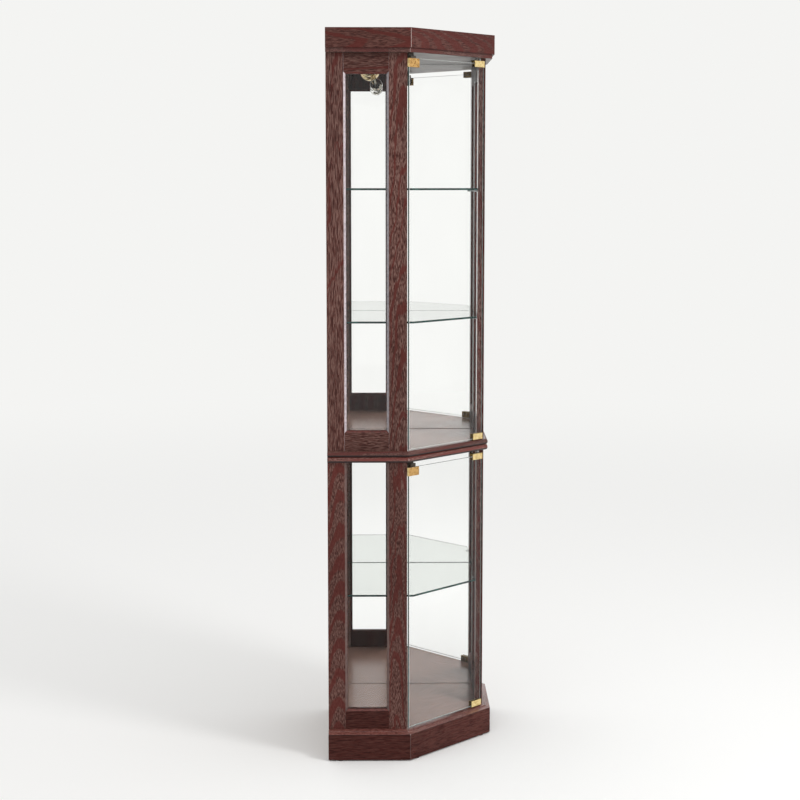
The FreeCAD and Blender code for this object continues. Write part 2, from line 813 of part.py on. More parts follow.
def make_cabinet():
    """Makes every piece of the cabinet, from the floor up."""
    make_glides()
    make_fascias("plinth", "base_overhang", "glide_height", "plinth_height")
    make_base_board()
    make_bead_board("lower_top_board", "lower_top_z", "lower_top_z")
    make_bead_board("upper_deck", "upper_board_z", "upper_deck_z - bushing_depth")
    make_cap_board()
    make_fascias("crown", "crown_overhang", "crown_z", "crown_height")
    make_crown_top()
    make_side_frames()
    make_back("lower", "lower_deck_z", "lower_height")
    make_back("upper", "upper_deck_z", "upper_top_z - upper_deck_z")
    shelves = {
        "lower_shelf": "lower_shelf_z",
        "upper_shelf_low": "first_shelf_z",
        "upper_shelf_high": "second_shelf_z",
    }
    for label, level in shelves.items():
        make_shelf(label, level)
    make_shelf_supports(list(shelves.values()))
    make_door("lower", "lower_deck_z", "lower_top_z")
    make_door("upper", "upper_deck_z", "upper_top_z")
    make_bushings(["lower_deck_z - bushing_depth", "lower_top_z",
                   "upper_deck_z - bushing_depth", "upper_top_z"])
    make_latches(["upper_top_z", "lower_top_z"])
    make_lamp()


def check_document():
    """Raises an error if any object failed or any piece is empty or invalid."""
    for item in DOC.Objects:
        faults = {"Invalid", "Error"} & set(item.State)
        if faults:
            raise RuntimeError(f"{item.Label}: {sorted(faults)}")
    for part in PARTS:
        if part.Shape.isNull() or not part.Shape.isValid():
            raise RuntimeError(f"{part.Label}: empty or invalid shape")


fill_sheet()
make_cabinet()
DOC.recompute()
check_document()
os.makedirs("parts", exist_ok=True)
for piece in PARTS:
    piece.Shape.exportStep(os.path.join("parts", piece.Label + ".step"))
print(f"{len(PARTS)} parts written")
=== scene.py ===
import logging
import math
from collections.abc import Callable, Sequence
from dataclasses import dataclass, field, replace
from enum import Enum, IntEnum

import bmesh
import bpy
from mathutils import Matrix, Vector


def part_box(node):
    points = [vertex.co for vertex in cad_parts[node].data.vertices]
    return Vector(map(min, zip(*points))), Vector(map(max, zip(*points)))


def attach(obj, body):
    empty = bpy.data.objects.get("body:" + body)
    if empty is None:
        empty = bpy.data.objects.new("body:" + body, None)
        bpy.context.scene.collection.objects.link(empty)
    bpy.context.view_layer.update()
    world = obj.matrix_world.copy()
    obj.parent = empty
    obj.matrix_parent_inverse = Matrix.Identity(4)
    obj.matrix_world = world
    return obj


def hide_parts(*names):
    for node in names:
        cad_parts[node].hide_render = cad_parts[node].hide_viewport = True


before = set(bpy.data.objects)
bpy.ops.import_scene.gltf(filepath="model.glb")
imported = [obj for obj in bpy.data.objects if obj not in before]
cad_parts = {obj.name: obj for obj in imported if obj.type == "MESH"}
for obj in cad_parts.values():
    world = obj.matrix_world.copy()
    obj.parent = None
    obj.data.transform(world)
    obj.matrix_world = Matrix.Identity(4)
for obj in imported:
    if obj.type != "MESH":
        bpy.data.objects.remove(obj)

LOG = logging.getLogger("corner_cabinet")
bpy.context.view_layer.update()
DIAGONAL = math.sqrt(0.5)
GOLDEN_SHARE = 0.6180339887

# How squarely a face looks in a direction, as the cosine of the angle between the two.
LEVEL, NEARLY_LEVEL, SQUARE, PLAIN, SLOPING, SLIGHT = 0.98, 0.975, 0.95, 0.9, 0.6, 0.3

# Degrees: up to which a piece is shaded smooth, and from which the edges of a turned piece are broken.
FLAT_FACES, SMOOTH, TURNED = 1.0, 32.0, 60.0

# Points of a mesh this close, in metres, are one, and faces that turn less than this many degrees are one face.
SAME_POINT, SAME_FACE = 1e-5, 0.4

# How many flats round pieces have.
SCREW_FLATS, COIL_FLATS, STEM_FLATS, CAP_FLATS, DOME_FLATS, FLOOR_FLATS = 16, 12, 20, 32, 48, 96

Colour = tuple[float, float, float]
Triple = tuple[float, float, float]
Chooser = Callable[[Vector], int]
Material = bpy.types.Material
Mesh = bmesh.types.BMesh
Socket = bpy.types.NodeSocket


# How the boards lie


class Lay(Enum):
    """How a board lies: the way its grain runs, and the way its face looks."""

    LEFT_UPRIGHT = ((0.0, 0.0, 1.0), (-DIAGONAL, -DIAGONAL, 0.0))
    RIGHT_UPRIGHT = ((0.0, 0.0, 1.0), (DIAGONAL, -DIAGONAL, 0.0))
    LEFT_LEVEL = ((DIAGONAL, -DIAGONAL, 0.0), (-DIAGONAL, -DIAGONAL, 0.0))
    RIGHT_LEVEL = ((-DIAGONAL, -DIAGONAL, 0.0), (DIAGONAL, -DIAGONAL, 0.0))
    FRONT_LEVEL = ((1.0, 0.0, 0.0), (0.0, -1.0, 0.0))
    FLAT = ((1.0, 0.0, 0.0), (0.0, 0.0, 1.0))

    @property
    def facing(self) -> Vector:
        """The way the board's face looks."""
        return Vector(self.value[1])

    @property
    def turn(self) -> Matrix:
        """The rotation that lays the pattern's first axis along the grain and its third through the face."""
        along = Vector(self.value[0])
        return Matrix((along, self.facing.cross(along), self.facing))


def lay_for(normal: Vector) -> Lay:
    """Picks the lay of a moulded board's face.

    Args:
        normal: The face's normal.

    Returns:
        The lay whose grain runs along that side of the board.
    """
    if abs(normal.z) > NEARLY_LEVEL:
        return Lay.FLAT
    sides = {
        Lay.FRONT_LEVEL: abs(normal.y),
        Lay.LEFT_LEVEL: abs(normal.x + normal.y) * DIAGONAL,
        Lay.RIGHT_LEVEL: abs(normal.x - normal.y) * DIAGONAL,
    }
    return max(sides, key=lambda lay: sides[lay])


def at_mitre(normal: Vector) -> bool:
    """Tells the arris of a mitred front corner by the way it looks, between the front and a side.

    Args:
        normal: The face's normal.

    Returns:
        True at such an arris.
    """
    lean, least, most = 0.5, 6.0, 39.0
    return abs(normal.z) <= lean and least < math.degrees(math.atan2(abs(normal.x), -normal.y)) < most


# Finishes


def shaded(colour: Colour, share: float) -> Colour:
    """Returns a colour made darker or lighter."""
    return tuple(part * share for part in colour)


class Graph:
    """The nodes of a material or of the world, laid out with short calls."""

    def __init__(self, name: str, world: bool = False) -> None:
        """Starts an empty material, or world, of that name.

        Args:
            name: Its name.
            world: Whether it is a world.
        """
        self.owner = (bpy.data.worlds if world else bpy.data.materials).new(name)
        self.owner.use_nodes = True
        self.tree = self.owner.node_tree
        self.tree.nodes.clear()
        self.output = self.tree.nodes.new("ShaderNodeOutputWorld" if world else "ShaderNodeOutputMaterial")

    def feed(self, socket: Socket, value: object) -> None:
        """Links a socket to another one, or sets it to a plain value.

        Args:
            socket: The socket.
            value: The other socket, a number, a vector or a colour.
        """
        if isinstance(value, Socket):
            self.tree.links.new(value, socket)
        elif isinstance(value, tuple) and len(value) == 3 and socket.type == "RGBA":
            socket.default_value = (*value, 1.0)
        else:
            socket.default_value = value

    def node(self, kind: str, inputs: dict[object, object], **settings: object) -> bpy.types.Node:
        """Adds a node.

        Args:
            kind: The node's type name, without "ShaderNode".
            inputs: Values or sockets for its inputs, by name or number.
            **settings: Attributes of the node, such as its operation.

        Returns:
            The node.
        """
        node = self.tree.nodes.new(f"ShaderNode{kind}")
        for key, value in settings.items():
            setattr(node, key, value)
        for key, value in inputs.items():
            self.feed(node.inputs[key], value)
        return node

    def place(self) -> Socket:
        """Returns the point on the surface, in the cabinet's own metres."""
        return self.node("TexCoord", {}).outputs["Object"]

    def math(self, operation: str, *values: object, clamp: bool = False) -> Socket:
        """Returns a sum, product or other plain operation on its values."""
        return self.node("Math", dict(enumerate(values)), operation=operation, use_clamp=clamp).outputs[0]

    def times(self, first: object, second: object, plus: object = 0.0, clamp: bool = False) -> Socket:
        """Returns a product with something added to it."""
        return self.math("MULTIPLY_ADD", first, second, plus, clamp=clamp)

    def cloud(self, point: Socket, by: Triple | float, detail: float = 2.0, roughness: float = 0.5) -> Socket:
        """Returns soft noise from 0 to 1.

        Args:
            point: Where on the surface.
            by: How many blobs there are to the metre, along each axis or all of them.
            detail: How many finer layers it has.
            roughness: How strong the finer layers are.

        Returns:
            The value's socket.
        """
        by = by if isinstance(by, tuple) else (by, by, by)
        drawn_out = self.node("VectorMath", {0: point, 1: by}, operation="MULTIPLY").outputs[0]
        inputs = {"Vector": drawn_out, "Scale": 1.0, "Detail": detail, "Roughness": roughness}
        return self.node("TexNoise", inputs).outputs[0]

    def sway(self, point: Socket, by: Triple, detail: float = 2.0) -> Socket:
        """Returns soft noise from -0.5 to 0.5."""
        return self.math("SUBTRACT", self.cloud(point, by, detail), 0.5)

    def ease(self, value: object, low: float, high: float, bottom: float = 0.0, top: float = 1.0) -> Socket:
        """Returns a value eased from bottom to top while the input goes from low to high."""
        inputs = {"Value": value, "From Min": low, "From Max": high, "To Min": bottom, "To Max": top}
        return self.node("MapRange", inputs, interpolation_type="SMOOTHSTEP").outputs[0]

    def blend(self, share: object, first: object, second: object, blend_type: str = "MIX") -> Socket:
        """Returns a mix of two colours."""
        inputs = {0: share, 6: first, 7: second}
        return self.node("Mix", inputs, data_type="RGBA", blend_type=blend_type).outputs[2]

    def drawn(self, point: Socket) -> Socket:
        """Lets a point wander a few millimetres, so that fine strokes bend like worm tracks.

        Args:
            point: The point.

        Returns:
            Where it wanders to.
        """
        drawn_out = self.node("VectorMath", {0: point, 1: (40.0, 110.0, 110.0)}, operation="MULTIPLY").outputs[0]
        drift = self.node("TexNoise", {"Vector": drawn_out, "Scale": 1.0, "Detail": 1.0}).outputs["Color"]
        offset = self.node("VectorMath", {0: drift, 1: (0.5, 0.5, 0.5)}, operation="SUBTRACT").outputs[0]
        inputs = {0: offset, 1: (0.005, 0.0035, 0.0035), 2: point}
        return self.node("VectorMath", inputs, operation="MULTIPLY_ADD").outputs[0]

    def relief(self, height: object, depth: float, strength: float = 1.0) -> Socket:
        """Returns a normal that is raised and sunk by height, over a depth in metres."""
        return self.node("Bump", {"Height": height, "Distance": depth, "Strength": strength}).outputs[0]

    def mixed(self, share: object, first: Socket, second: Socket) -> Socket:
        """Returns a mix of two shaders."""
        return self.node("MixShader", {0: share, 1: first, 2: second}).outputs[0]

    def surface(self, inputs: dict[str, object]) -> Socket:
        """Returns a Principled shader."""
        return self.node("BsdfPrincipled", inputs).outputs[0]

    def done(self, shader: Socket) -> Material:
        """Joins the shader to the output and returns the material."""
        self.tree.links.new(shader, self.output.inputs["Surface"])
        return self.owner


@dataclass(frozen=True)
class Mahogany:
    """Open-grained wood stained a dark mahogany, its pores grey under a satin lacquer.

    Tone lightens the whole, and greyness the open grain. The ring gap is the metres between year rings, and lean
    is how fast the board crosses them along its length. A board cut near the heart of the log (a small heart)
    shows pointed arches, and one cut far from it straight lines. Aside moves the arches across the board, wild
    grain wanders, and red share is how much of a ring is red late wood. Speckle is how plainly the grey pores
    show, fine how many times as fine as usual they are, and streak how many times as long. Glint is how much the
    stain mirrors, and polish how thick the gloss over it is.
    """

    tone: float = 1.0
    greyness: float = 1.0
    ring_gap: float = 0.0070
    lean: float = 0.13
    heart: float = 0.013
    aside: float = 0.0
    wild: float = 0.7
    red_share: float = 0.42
    roughness: float = 0.44
    polish: float = 0.0
    speckle: float = 1.0
    glint: float = 0.13
    fine: float = 1.0
    streak: float = 1.0
    ground: Colour = (0.094, 0.0170, 0.0132)
    grain: Colour = (0.083, 0.0275, 0.0212)
    fleck: Colour = (0.228, 0.1350, 0.1130)
    pore: Colour = (0.024, 0.0085, 0.0070)
    board_step: float = 0.731
    log_width: float = 0.022

    def make(self, name: str, lay: Lay, centre: Vector, sawn: int) -> Material:
        """Makes the wood of one board.

        Args:
            name: The material's name.
            lay: The way the grain runs and the face looks.
            centre: The middle of the board.
            sawn: A number that picks where in the log the board was sawn.

        Returns:
            The material.
        """
        graph = Graph(name)
        middle = lay.turn @ centre
        part = (sawn * GOLDEN_SHARE) % 1.0
        across = self.aside + (part - 0.5) * self.log_width
        start = (sawn * self.board_step - middle.x, across - middle.y, -middle.z)
        mapping = {"Vector": graph.place(), "Location": start, "Rotation": tuple(lay.turn.to_euler("XYZ"))}
        point = graph.node("Mapping", mapping, vector_type="POINT").outputs[0]
        early = self.arches(graph, point, part)
        length, width = 125.0 * self.fine / self.streak, 620.0 * self.fine
        stroke = graph.cloud(graph.drawn(point), (length, width, width), 1.0, 0.5)
        flecks = graph.ease(stroke, 0.465, 0.595)
        furrow = graph.ease(stroke, 0.49, 0.37)
        hair = graph.ease(graph.cloud(point, (130.0, 1100.0, 1100.0), 2.0, 0.6), 0.42, 0.68)
        grey = graph.times(graph.times(early, 0.86, 0.10), self.greyness, clamp=True)
        light = graph.times(graph.times(flecks, graph.times(early, 0.74, 0.16)), self.greyness, clamp=True)
        light = graph.times(light, graph.times(hair, 0.4 * self.speckle, 0.6 * self.speckle))
        dark = graph.times(furrow, graph.times(early, 0.48, 0.22))
        colour = graph.blend(grey, shaded(self.ground, self.tone), shaded(self.grain, self.tone))
        colour = graph.blend(light, colour, shaded(self.fleck, self.tone))
        colour = graph.blend(dark, colour, shaded(self.pore, self.tone))
        drift = graph.ease(graph.cloud(point, (2.2, 9.0, 9.0)), 0.3, 0.7, 0.84, 1.12)
        drift = graph.node("CombineColor", {0: drift, 1: drift, 2: drift}).outputs[0]
        height = graph.math("SUBTRACT", graph.times(hair, 0.2, flecks), graph.times(furrow, 1.2))
        return graph.done(graph.surface({
            "Base Color": graph.blend(1.0, colour, drift, "MULTIPLY"),
            "Roughness": graph.ease(light, 0.0, 0.8, self.roughness - 0.04, self.roughness + 0.12),
            "Specular IOR Level": self.glint,
            "Coat Weight": self.polish,
            "Coat Roughness": 0.16,
            "Normal": graph.relief(height, 0.00030, 0.6),
        }))

    def arches(self, graph: Graph, point: Socket, part: float) -> Socket:
        """Draws the year rings where the board's face cuts them.

        Args:
            graph: The material's nodes.
            point: The place on the board, with X along the grain and Z through the face.
            part: A number from 0 to 1 that moves the board in the log.

        Returns:
            1 in the grey, open early wood and 0 in the red late wood.
        """
        axes = graph.node("SeparateXYZ", {0: point}).outputs
        ripple = graph.sway(point, (15.0, 62.0, 62.0))
        across = graph.times(graph.sway(point, (2.6, 10.0, 10.0)), 0.060 * self.wild, axes[1])
        across = graph.times(ripple, 0.014 * self.wild, across)
        inward = graph.times(ripple, 0.009 * self.wild, graph.math("ADD", axes[2], self.heart + part * 0.010))
        radius = graph.math("SQRT", graph.times(across, across, graph.times(inward, inward)))
        ring = graph.math("DIVIDE", graph.times(axes[0], self.lean, radius), self.ring_gap)
        ring = graph.times(graph.sway(point, (5.0, 17.0, 17.0), 1.0), 1.5 * self.wild, ring)
        tooth = graph.times(graph.math("PINGPONG", ring, 0.5), 2.0)
        level = graph.times(graph.sway(point, (70.0, 330.0, 330.0)), 0.22, tooth)
        level = graph.times(graph.sway(point, (3.4, 12.0, 12.0), 1.0), 0.9, level)
        return graph.ease(level, self.red_share - 0.07, self.red_share + 0.11)


class Finish:
    """A finish that is laid out in the same way on whatever piece has it."""

    def make(self, name: str) -> Material:
        """Makes the finish.

        Args:
            name: The material's name.

        Returns:
            The material.
        """
        graph = Graph(name)
        return graph.done(self.shader(graph, graph.place()))

    def shader(self, graph: Graph, point: Socket) -> Socket:
        """Lays out the finish.

        Args:
            graph: The material's nodes.
            point: The points of the surface.

        Returns:
            The shader.
        """
        raise NotImplementedError


@dataclass(frozen=True)
class PolishedDeck(Finish):
    """The smooth lacquered faces of the floors and the ceiling, in dark brown lifted towards grey as painted sheen;
    the ceiling's darker copy is painted shade.
    """

    base: Colour = (0.225, 0.1270, 0.1010)
    roughness: float = 0.22

    def shader(self, graph: Graph, point: Socket) -> Socket:
        """Lays out faint streaks under an even gloss."""
        streak = graph.ease(graph.cloud(point, (22.0, 210.0, 210.0), 3.0, 0.6), 0.35, 0.65)
        haze = graph.cloud(point, 14.0, 3.0)
        return graph.surface({
            "Base Color": graph.blend(graph.times(streak, 0.55), shaded(self.base, 0.84), shaded(self.base, 1.22)),
            "Roughness": graph.ease(haze, 0.3, 0.7, self.roughness - 0.02, self.roughness + 0.03),
        })


@dataclass(frozen=True)
class BackBoard(Finish):
    """Plain brown hardboard and softwood that faces the walls."""

    base: Colour = (0.155, 0.0850, 0.0480)

    def shader(self, graph: Graph, point: Socket) -> Socket:
        """Lays out mottled fibres."""
        fibre = graph.cloud(point, 260.0, 4.0, 0.7)
        mottle = graph.ease(graph.cloud(point, 9.0, 3.0), 0.35, 0.75, 0.0, 0.35)
        colour = graph.blend(graph.ease(fibre, 0.35, 0.7), shaded(self.base, 0.78), shaded(self.base, 1.15))
        return graph.surface({
            "Base Color": graph.blend(mottle, colour, shaded(self.base, 0.7)),
            "Roughness": graph.ease(fibre, 0.3, 0.7, 0.72, 0.88),
            "Normal": graph.relief(fibre, 0.0003, 0.5),
        })


@dataclass(frozen=True)
class NarrowFace(Finish):
    """A narrow flat colour: a painted highlight on a mitre, a window bevel or a glass arris, a ground arris, or the
    painted shadow line under a board's nose.
    """

    base: Colour

    def shader(self, graph: Graph, point: Socket) -> Socket:
        """Lays out an even colour with faint patches."""
        rub = graph.ease(graph.cloud(point, 160.0, 3.0), 0.35, 0.75)
        colour = graph.blend(rub, self.base, shaded(self.base, 0.6))
        return graph.surface({"Base Color": colour, "Roughness": 0.5})


@dataclass(frozen=True)
class ClearGlass(Finish):
    """Float glass, seen through its faces. Lamps shine through it."""

    tint: Colour = (0.995, 0.998, 0.995)
    bend: float = 1.19
    shadow: Colour = (0.93, 0.95, 0.94)

    def shader(self, graph: Graph, point: Socket) -> Socket:
        """Lays out clear glass with the faintest smears."""
        smear = graph.ease(graph.cloud(point, (14.0, 14.0, 6.0), 3.0), 0.3, 0.8)
        shader = graph.surface({
            "Base Color": graph.blend(smear, self.tint, shaded(self.tint, 0.99)),
            "Roughness": 0.0,
            "IOR": self.bend,
            "Transmission Weight": 1.0,
        })
        lamp_ray = graph.node("LightPath", {}).outputs["Is Shadow Ray"]
        return graph.mixed(lamp_ray, shader, graph.node("BsdfTransparent", {"Color": self.shadow}).outputs[0])


@dataclass(frozen=True)
class CutGlass(Finish):
    """The ground and polished edge of float glass, where its green gathers."""

    deep: Colour = (0.003, 0.020, 0.017)
    light: Colour = (0.022, 0.080, 0.068)

    def shader(self, graph: Graph, point: Socket) -> Socket:
        """Lays out deep green with a ground bloom."""
        grind = graph.cloud(point, (700.0, 700.0, 60.0), 2.0)
        depth = graph.ease(graph.cloud(point, 30.0, 3.0), 0.35, 0.85)
        return graph.surface({
            "Base Color": graph.blend(depth, self.deep, self.light),
            "Roughness": graph.ease(grind, 0.3, 0.7, 0.08, 0.22),
            "Specular IOR Level": 0.30,
            "Normal": graph.relief(grind, 0.00005, 0.3),
        })


@dataclass(frozen=True)
class Silvering(Finish):
    """A mirror's face, with the faint haze of its silver."""

    silver: Colour = (0.985, 0.987, 0.984)

    def shader(self, graph: Graph, point: Socket) -> Socket:
        """Lays out a mirror with a breath of haze."""
        haze = graph.ease(graph.cloud(point, 5.0, 3.0), 0.3, 0.8)
        colour = graph.blend(haze, self.silver, shaded(self.silver, 0.99))
        return graph.surface({"Base Color": colour, "Metallic": 1.0, "Roughness": 0.012})


@dataclass(frozen=True)
class Metal(Finish):
    """A bare or plated metal: its colour, its wear and how it was rubbed."""

    base: Colour
    shade: Colour
    roughness: float = 0.20
    brush: Triple | float = 900.0
    pitting: float = 0.00006

    def shader(self, graph: Graph, point: Socket) -> Socket:
        """Lays out rubbed metal that has aged in patches."""
        rub = graph.cloud(point, self.brush, 3.0, 0.6)
        age = graph.ease(graph.cloud(point, 170.0, 3.0, 0.6), 0.36, 0.72)
        return graph.surface({
            "Base Color": graph.blend(age, self.base, self.shade),
            "Metallic": 1.0,
            "Roughness": graph.ease(rub, 0.3, 0.7, self.roughness - 0.05, self.roughness + 0.09),
            "Normal": graph.relief(rub, self.pitting, 0.5),
        })


@dataclass(frozen=True)
class MouldedPlastic(Finish):
    """Moulded plastic with a fine spark-eroded skin."""

    base: Colour
    roughness: float = 0.42

    def shader(self, graph: Graph, point: Socket) -> Socket:
        """Lays out plain plastic with a fine skin."""
        skin = graph.cloud(point, 1600.0, 2.0)
        flow = graph.cloud(point, 60.0, 2.0)
        return graph.surface({
            "Base Color": graph.blend(graph.ease(flow, 0.3, 0.75), self.base, shaded(self.base, 0.8)),
            "Roughness": graph.ease(flow, 0.3, 0.7, self.roughness - 0.05, self.roughness + 0.07),
            "Normal": graph.relief(skin, 0.00004, 0.5),
        })


HINGE_BRASS = Metal((0.86, 0.68, 0.34), (0.66, 0.46, 0.19), 0.20, (250.0, 1400.0, 1400.0))
# Dark brass for all but the front of a hinge clamp: darker metal that also stands in for the shade on its sides, as
# painted shade.
BRASS_FOR_PAINTED_SHADE = Metal((0.24, 0.160, 0.062), (0.050, 0.036, 0.018), 0.34, 260.0, 0.00020)
STRIKE_BRASS = Metal((0.66, 0.40, 0.15), (0.36, 0.19, 0.06), 0.26, 500.0, 0.00015)
LAMP_BRASS = Metal((0.78, 0.62, 0.36), (0.60, 0.44, 0.20), 0.14, (1200.0, 1200.0, 300.0))
BRIGHT_STEEL = Metal((0.60, 0.61, 0.62), (0.42, 0.42, 0.43), 0.22)


def made(finish: Finish, name: str) -> Material:
    """Returns a dataclass field that makes a finish once, under that name."""
    return field(default_factory=lambda: finish.make(name))


@dataclass
class Finishes:
    """The finishes that the sub-assemblies share, made once."""

    # Top faces: lacquer lightened towards grey as painted sheen; undersides: a darker copy as painted shade.
    deck: Material = made(PolishedDeck(), "deck_lacquer_painted_sheen")
    ceiling: Material = made(PolishedDeck((0.100, 0.064, 0.052), 0.36), "ceiling_lacquer_painted_shade")
    board: Material = made(BackBoard(), "hardboard")
    # Pale lines on the arrises of the mitred front corners: painted highlight, dimmer on the plinth.
    mitre_highlight: Material = made(NarrowFace((0.56, 0.43, 0.40)), "painted_mitre_highlight")
    dim_mitre_highlight: Material = made(NarrowFace((0.150, 0.085, 0.075)), "painted_dim_mitre_highlight")
    # Flat colours on the bevels round the side windows: painted highlight, bright on the upper rear stiles, grey on
    # the upper front ones, dim on the lower stiles.
    painted_bevel_highlight: Material = made(NarrowFace((0.62, 0.54, 0.57)), "painted_bevel_highlight")
    painted_grey_bevel_highlight: Material = made(NarrowFace((0.34, 0.31, 0.33)), "painted_grey_bevel_highlight")
    painted_dim_bevel: Material = made(NarrowFace((0.165, 0.100, 0.088)), "painted_dim_bevel")
    # Near-black on faces that slope down under a board's nose: painted shadow line.
    shadow_line: Material = made(NarrowFace((0.022, 0.0075, 0.0060)), "painted_shadow_line")
    shelf_glass: Material = made(ClearGlass((0.790, 0.822, 0.795), 1.42), "shelf_glass")
    ground_arris: Material = made(NarrowFace((0.42, 0.46, 0.45)), "ground_arris")
    # Pale line on glass arrises: painted highlight.
    painted_arris_highlight: Material = made(NarrowFace((0.80, 0.83, 0.81)), "painted_arris_highlight")
    glass: Material = made(ClearGlass(), "float_glass")
    bright_glass: Material = made(ClearGlass(bend=1.28), "bright_glass")
    cut_glass: Material = made(CutGlass(), "cut_glass_edge")
    silver: Material = made(Silvering(), "mirror_silver")
    mirror_back: Material = made(MouldedPlastic((0.16, 0.17, 0.18), 0.6), "mirror_back_paint")
    hinge: Material = made(HINGE_BRASS, "hinge_brass")
    painted_shade_hinge: Material = made(BRASS_FOR_PAINTED_SHADE, "hinge_body_brass")
    strike: Material = made(STRIKE_BRASS, "strike_brass")
    steel: Material = made(BRIGHT_STEEL, "zinc_plate")


# Making pieces


def add(name: str, data: bpy.types.ID) -> bpy.types.Object:
    """Puts a new object with its data into the scene and returns it."""
    thing = bpy.data.objects.new(name, data)
    bpy.context.scene.collection.objects.link(thing)
    return thing


@dataclass(frozen=True)
class Arris:
    """A broken edge: its width in metres, how many faces round it, and the least turn of an edge that gets it."""

    width: float
    faces: int = 2
    above: float = 28.0

    def cut(self, mesh: Mesh) -> None:
        """Breaks every sharp edge of a mesh."""
        sharp = [edge for edge in mesh.edges
                 if len(edge.link_faces) == 2 and edge.calc_face_angle(0.0) > math.radians(self.above)]
        bmesh.ops.bevel(mesh, geom=sharp, offset=self.width, offset_type="OFFSET", segments=self.faces, profile=0.5,
                        affect="EDGES", clamp_overlap=True, material=-1)


def finish_piece(mesh: Mesh, name: str, materials: Sequence[Material], slot: str, choose: Chooser | None = None,
                 body: str = "cabinet", stands_for: str | None = None, smooth_below: float = SMOOTH) -> None:
    """Turns a bmesh into a piece of the cabinet.

    Args:
        mesh: The finished bmesh, which is freed.
        name: The piece's name.
        materials: Its materials.
        slot: Not used.
        choose: Picks a face's material from its normal.
        body: The CAD body that it rides on.
        stands_for: The CAD node that it replaces.
        smooth_below: Edges that turn less than this many degrees are shaded smooth.
    """
    if choose is not None:
        for face in mesh.faces:
            face.material_index = choose(face.normal)
    data = bpy.data.meshes.new(name)
    mesh.to_mesh(data)
    mesh.free()
    for material in materials:
        data.materials.append(material)
    data.shade_smooth()
    data.set_sharp_from_angle(angle=math.radians(smooth_below))
    piece = add(name, data)
    if smooth_below > FLAT_FACES:
        weighting = piece.modifiers.new("even_shading", "WEIGHTED_NORMAL")
        weighting.mode, weighting.weight, weighting.keep_sharp = "FACE_AREA", 50, True
    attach(piece, body)
    if stands_for is not None:
        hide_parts(stands_for)
    LOG.info("%s rides on %s, %d faces", name, body, len(data.polygons))


def dress(node: str, suffix: str, materials: Sequence[Material], slot: str, arris: Arris | None = None,
          choose: Chooser | None = None, body: str = "cabinet", smooth_below: float = SMOOTH,
          carve: Callable[[Mesh], None] | None = None) -> None:
    """Makes a piece from a copy of a CAD node's mesh, its loose triangles merged into whole faces.

    Args:
        node: The node, which the piece replaces.
        suffix: What the piece's name has after the node's.
        materials: Its materials.
        slot: The record's material slot, handed on to finish_piece.
        arris: How its edges are broken, or None where they stay as they are.
        choose: Picks a face's material from its normal.
        body: The CAD body that it rides on.
        smooth_below: Edges that turn less than this many degrees are shaded smooth.
        carve: What is done to the mesh before its edges are broken.
    """
    mesh = bmesh.new()
    mesh.from_mesh(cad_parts[node].data)
    bmesh.ops.remove_doubles(mesh, verts=mesh.verts, dist=SAME_POINT)
    bmesh.ops.dissolve_limit(mesh, angle_limit=math.radians(SAME_FACE), verts=mesh.verts, edges=mesh.edges)
    if carve is not None:
        carve(mesh)
    if arris is not None:
        arris.cut(mesh)
    finish_piece(mesh, f"{node}_{suffix}", materials, slot, choose, body, node, smooth_below)


def sheet_faces(toward: Vector, back: int = 0, arris: int = 1, back_arris: int = 1) -> Chooser:
    """Tells the faces, the edges and the sloping arrises of a sheet of glass apart.

    Args:
        toward: The way that the sheet looks.
        back: What its back gets.
        arris: What the arris round its front gets.
        back_arris: What the arris round its back gets.

    Returns:
        A chooser that gives 0 for its front and 1 for its edges.
    """
    def choose(normal: Vector) -> int:
        """Picks the face, the edge or the arris."""
        looks = normal.dot(toward)
        if abs(looks) > PLAIN:
            return 0 if looks > 0.0 else back
        return 1 if abs(looks) < SLIGHT else arris if looks > 0.0 else back_arris

    return choose


def sink(mesh: Mesh, faces: Sequence[bmesh.types.BMFace], margin: float, draft: float, depth: float) -> None:
    """Sinks a panel into each of some faces.

    Args:
        mesh: The mesh to work on.
        faces: The faces.
        margin: How wide a rim is left round the panel.
        draft: How far the panel's walls lean in.
        depth: How deep it is.
    """
    for thickness, rise in ((margin, 0.0), (draft, -depth)):
        bmesh.ops.inset_individual(mesh, faces=faces, thickness=thickness, depth=rise)


def open_edges(mesh: Mesh) -> list[bmesh.types.BMEdge]:
    """Returns the edges round a mesh's open ends."""
    return [edge for edge in mesh.edges if edge.is_boundary]


def close(mesh: Mesh) -> None:
    """Fills a mesh's open ends and turns its faces outward."""
    bmesh.ops.holes_fill(mesh, edges=open_edges(mesh), sides=0)
    bmesh.ops.recalc_face_normals(mesh, faces=mesh.faces)


def turned(outline: Sequence[tuple[float, float]], place: Matrix, flats: int) -> Mesh:
    """Turns an outline round the Z axis as on a lathe.

    Args:
        outline: (radius, height) points from one end to the other. An end on the axis has radius 0.
        place: Where the turned piece goes.
        flats: How many flats it has.

    Returns:
        A closed bmesh with its faces outward.
    """
    mesh = bmesh.new()
    points = [mesh.verts.new((radius, 0.0, height)) for radius, height in outline]
    edges = [mesh.edges.new(pair) for pair in zip(points, points[1:])]
    bmesh.ops.spin(mesh, geom=points + edges, cent=(0, 0, 0), axis=(0, 0, 1), angle=math.tau, steps=flats,
                   use_merge=True)
    bmesh.ops.remove_doubles(mesh, verts=mesh.verts, dist=SAME_POINT / 10)
    bmesh.ops.recalc_face_normals(mesh, faces=mesh.faces)
    bmesh.ops.transform(mesh, matrix=place, verts=mesh.verts)
    return mesh


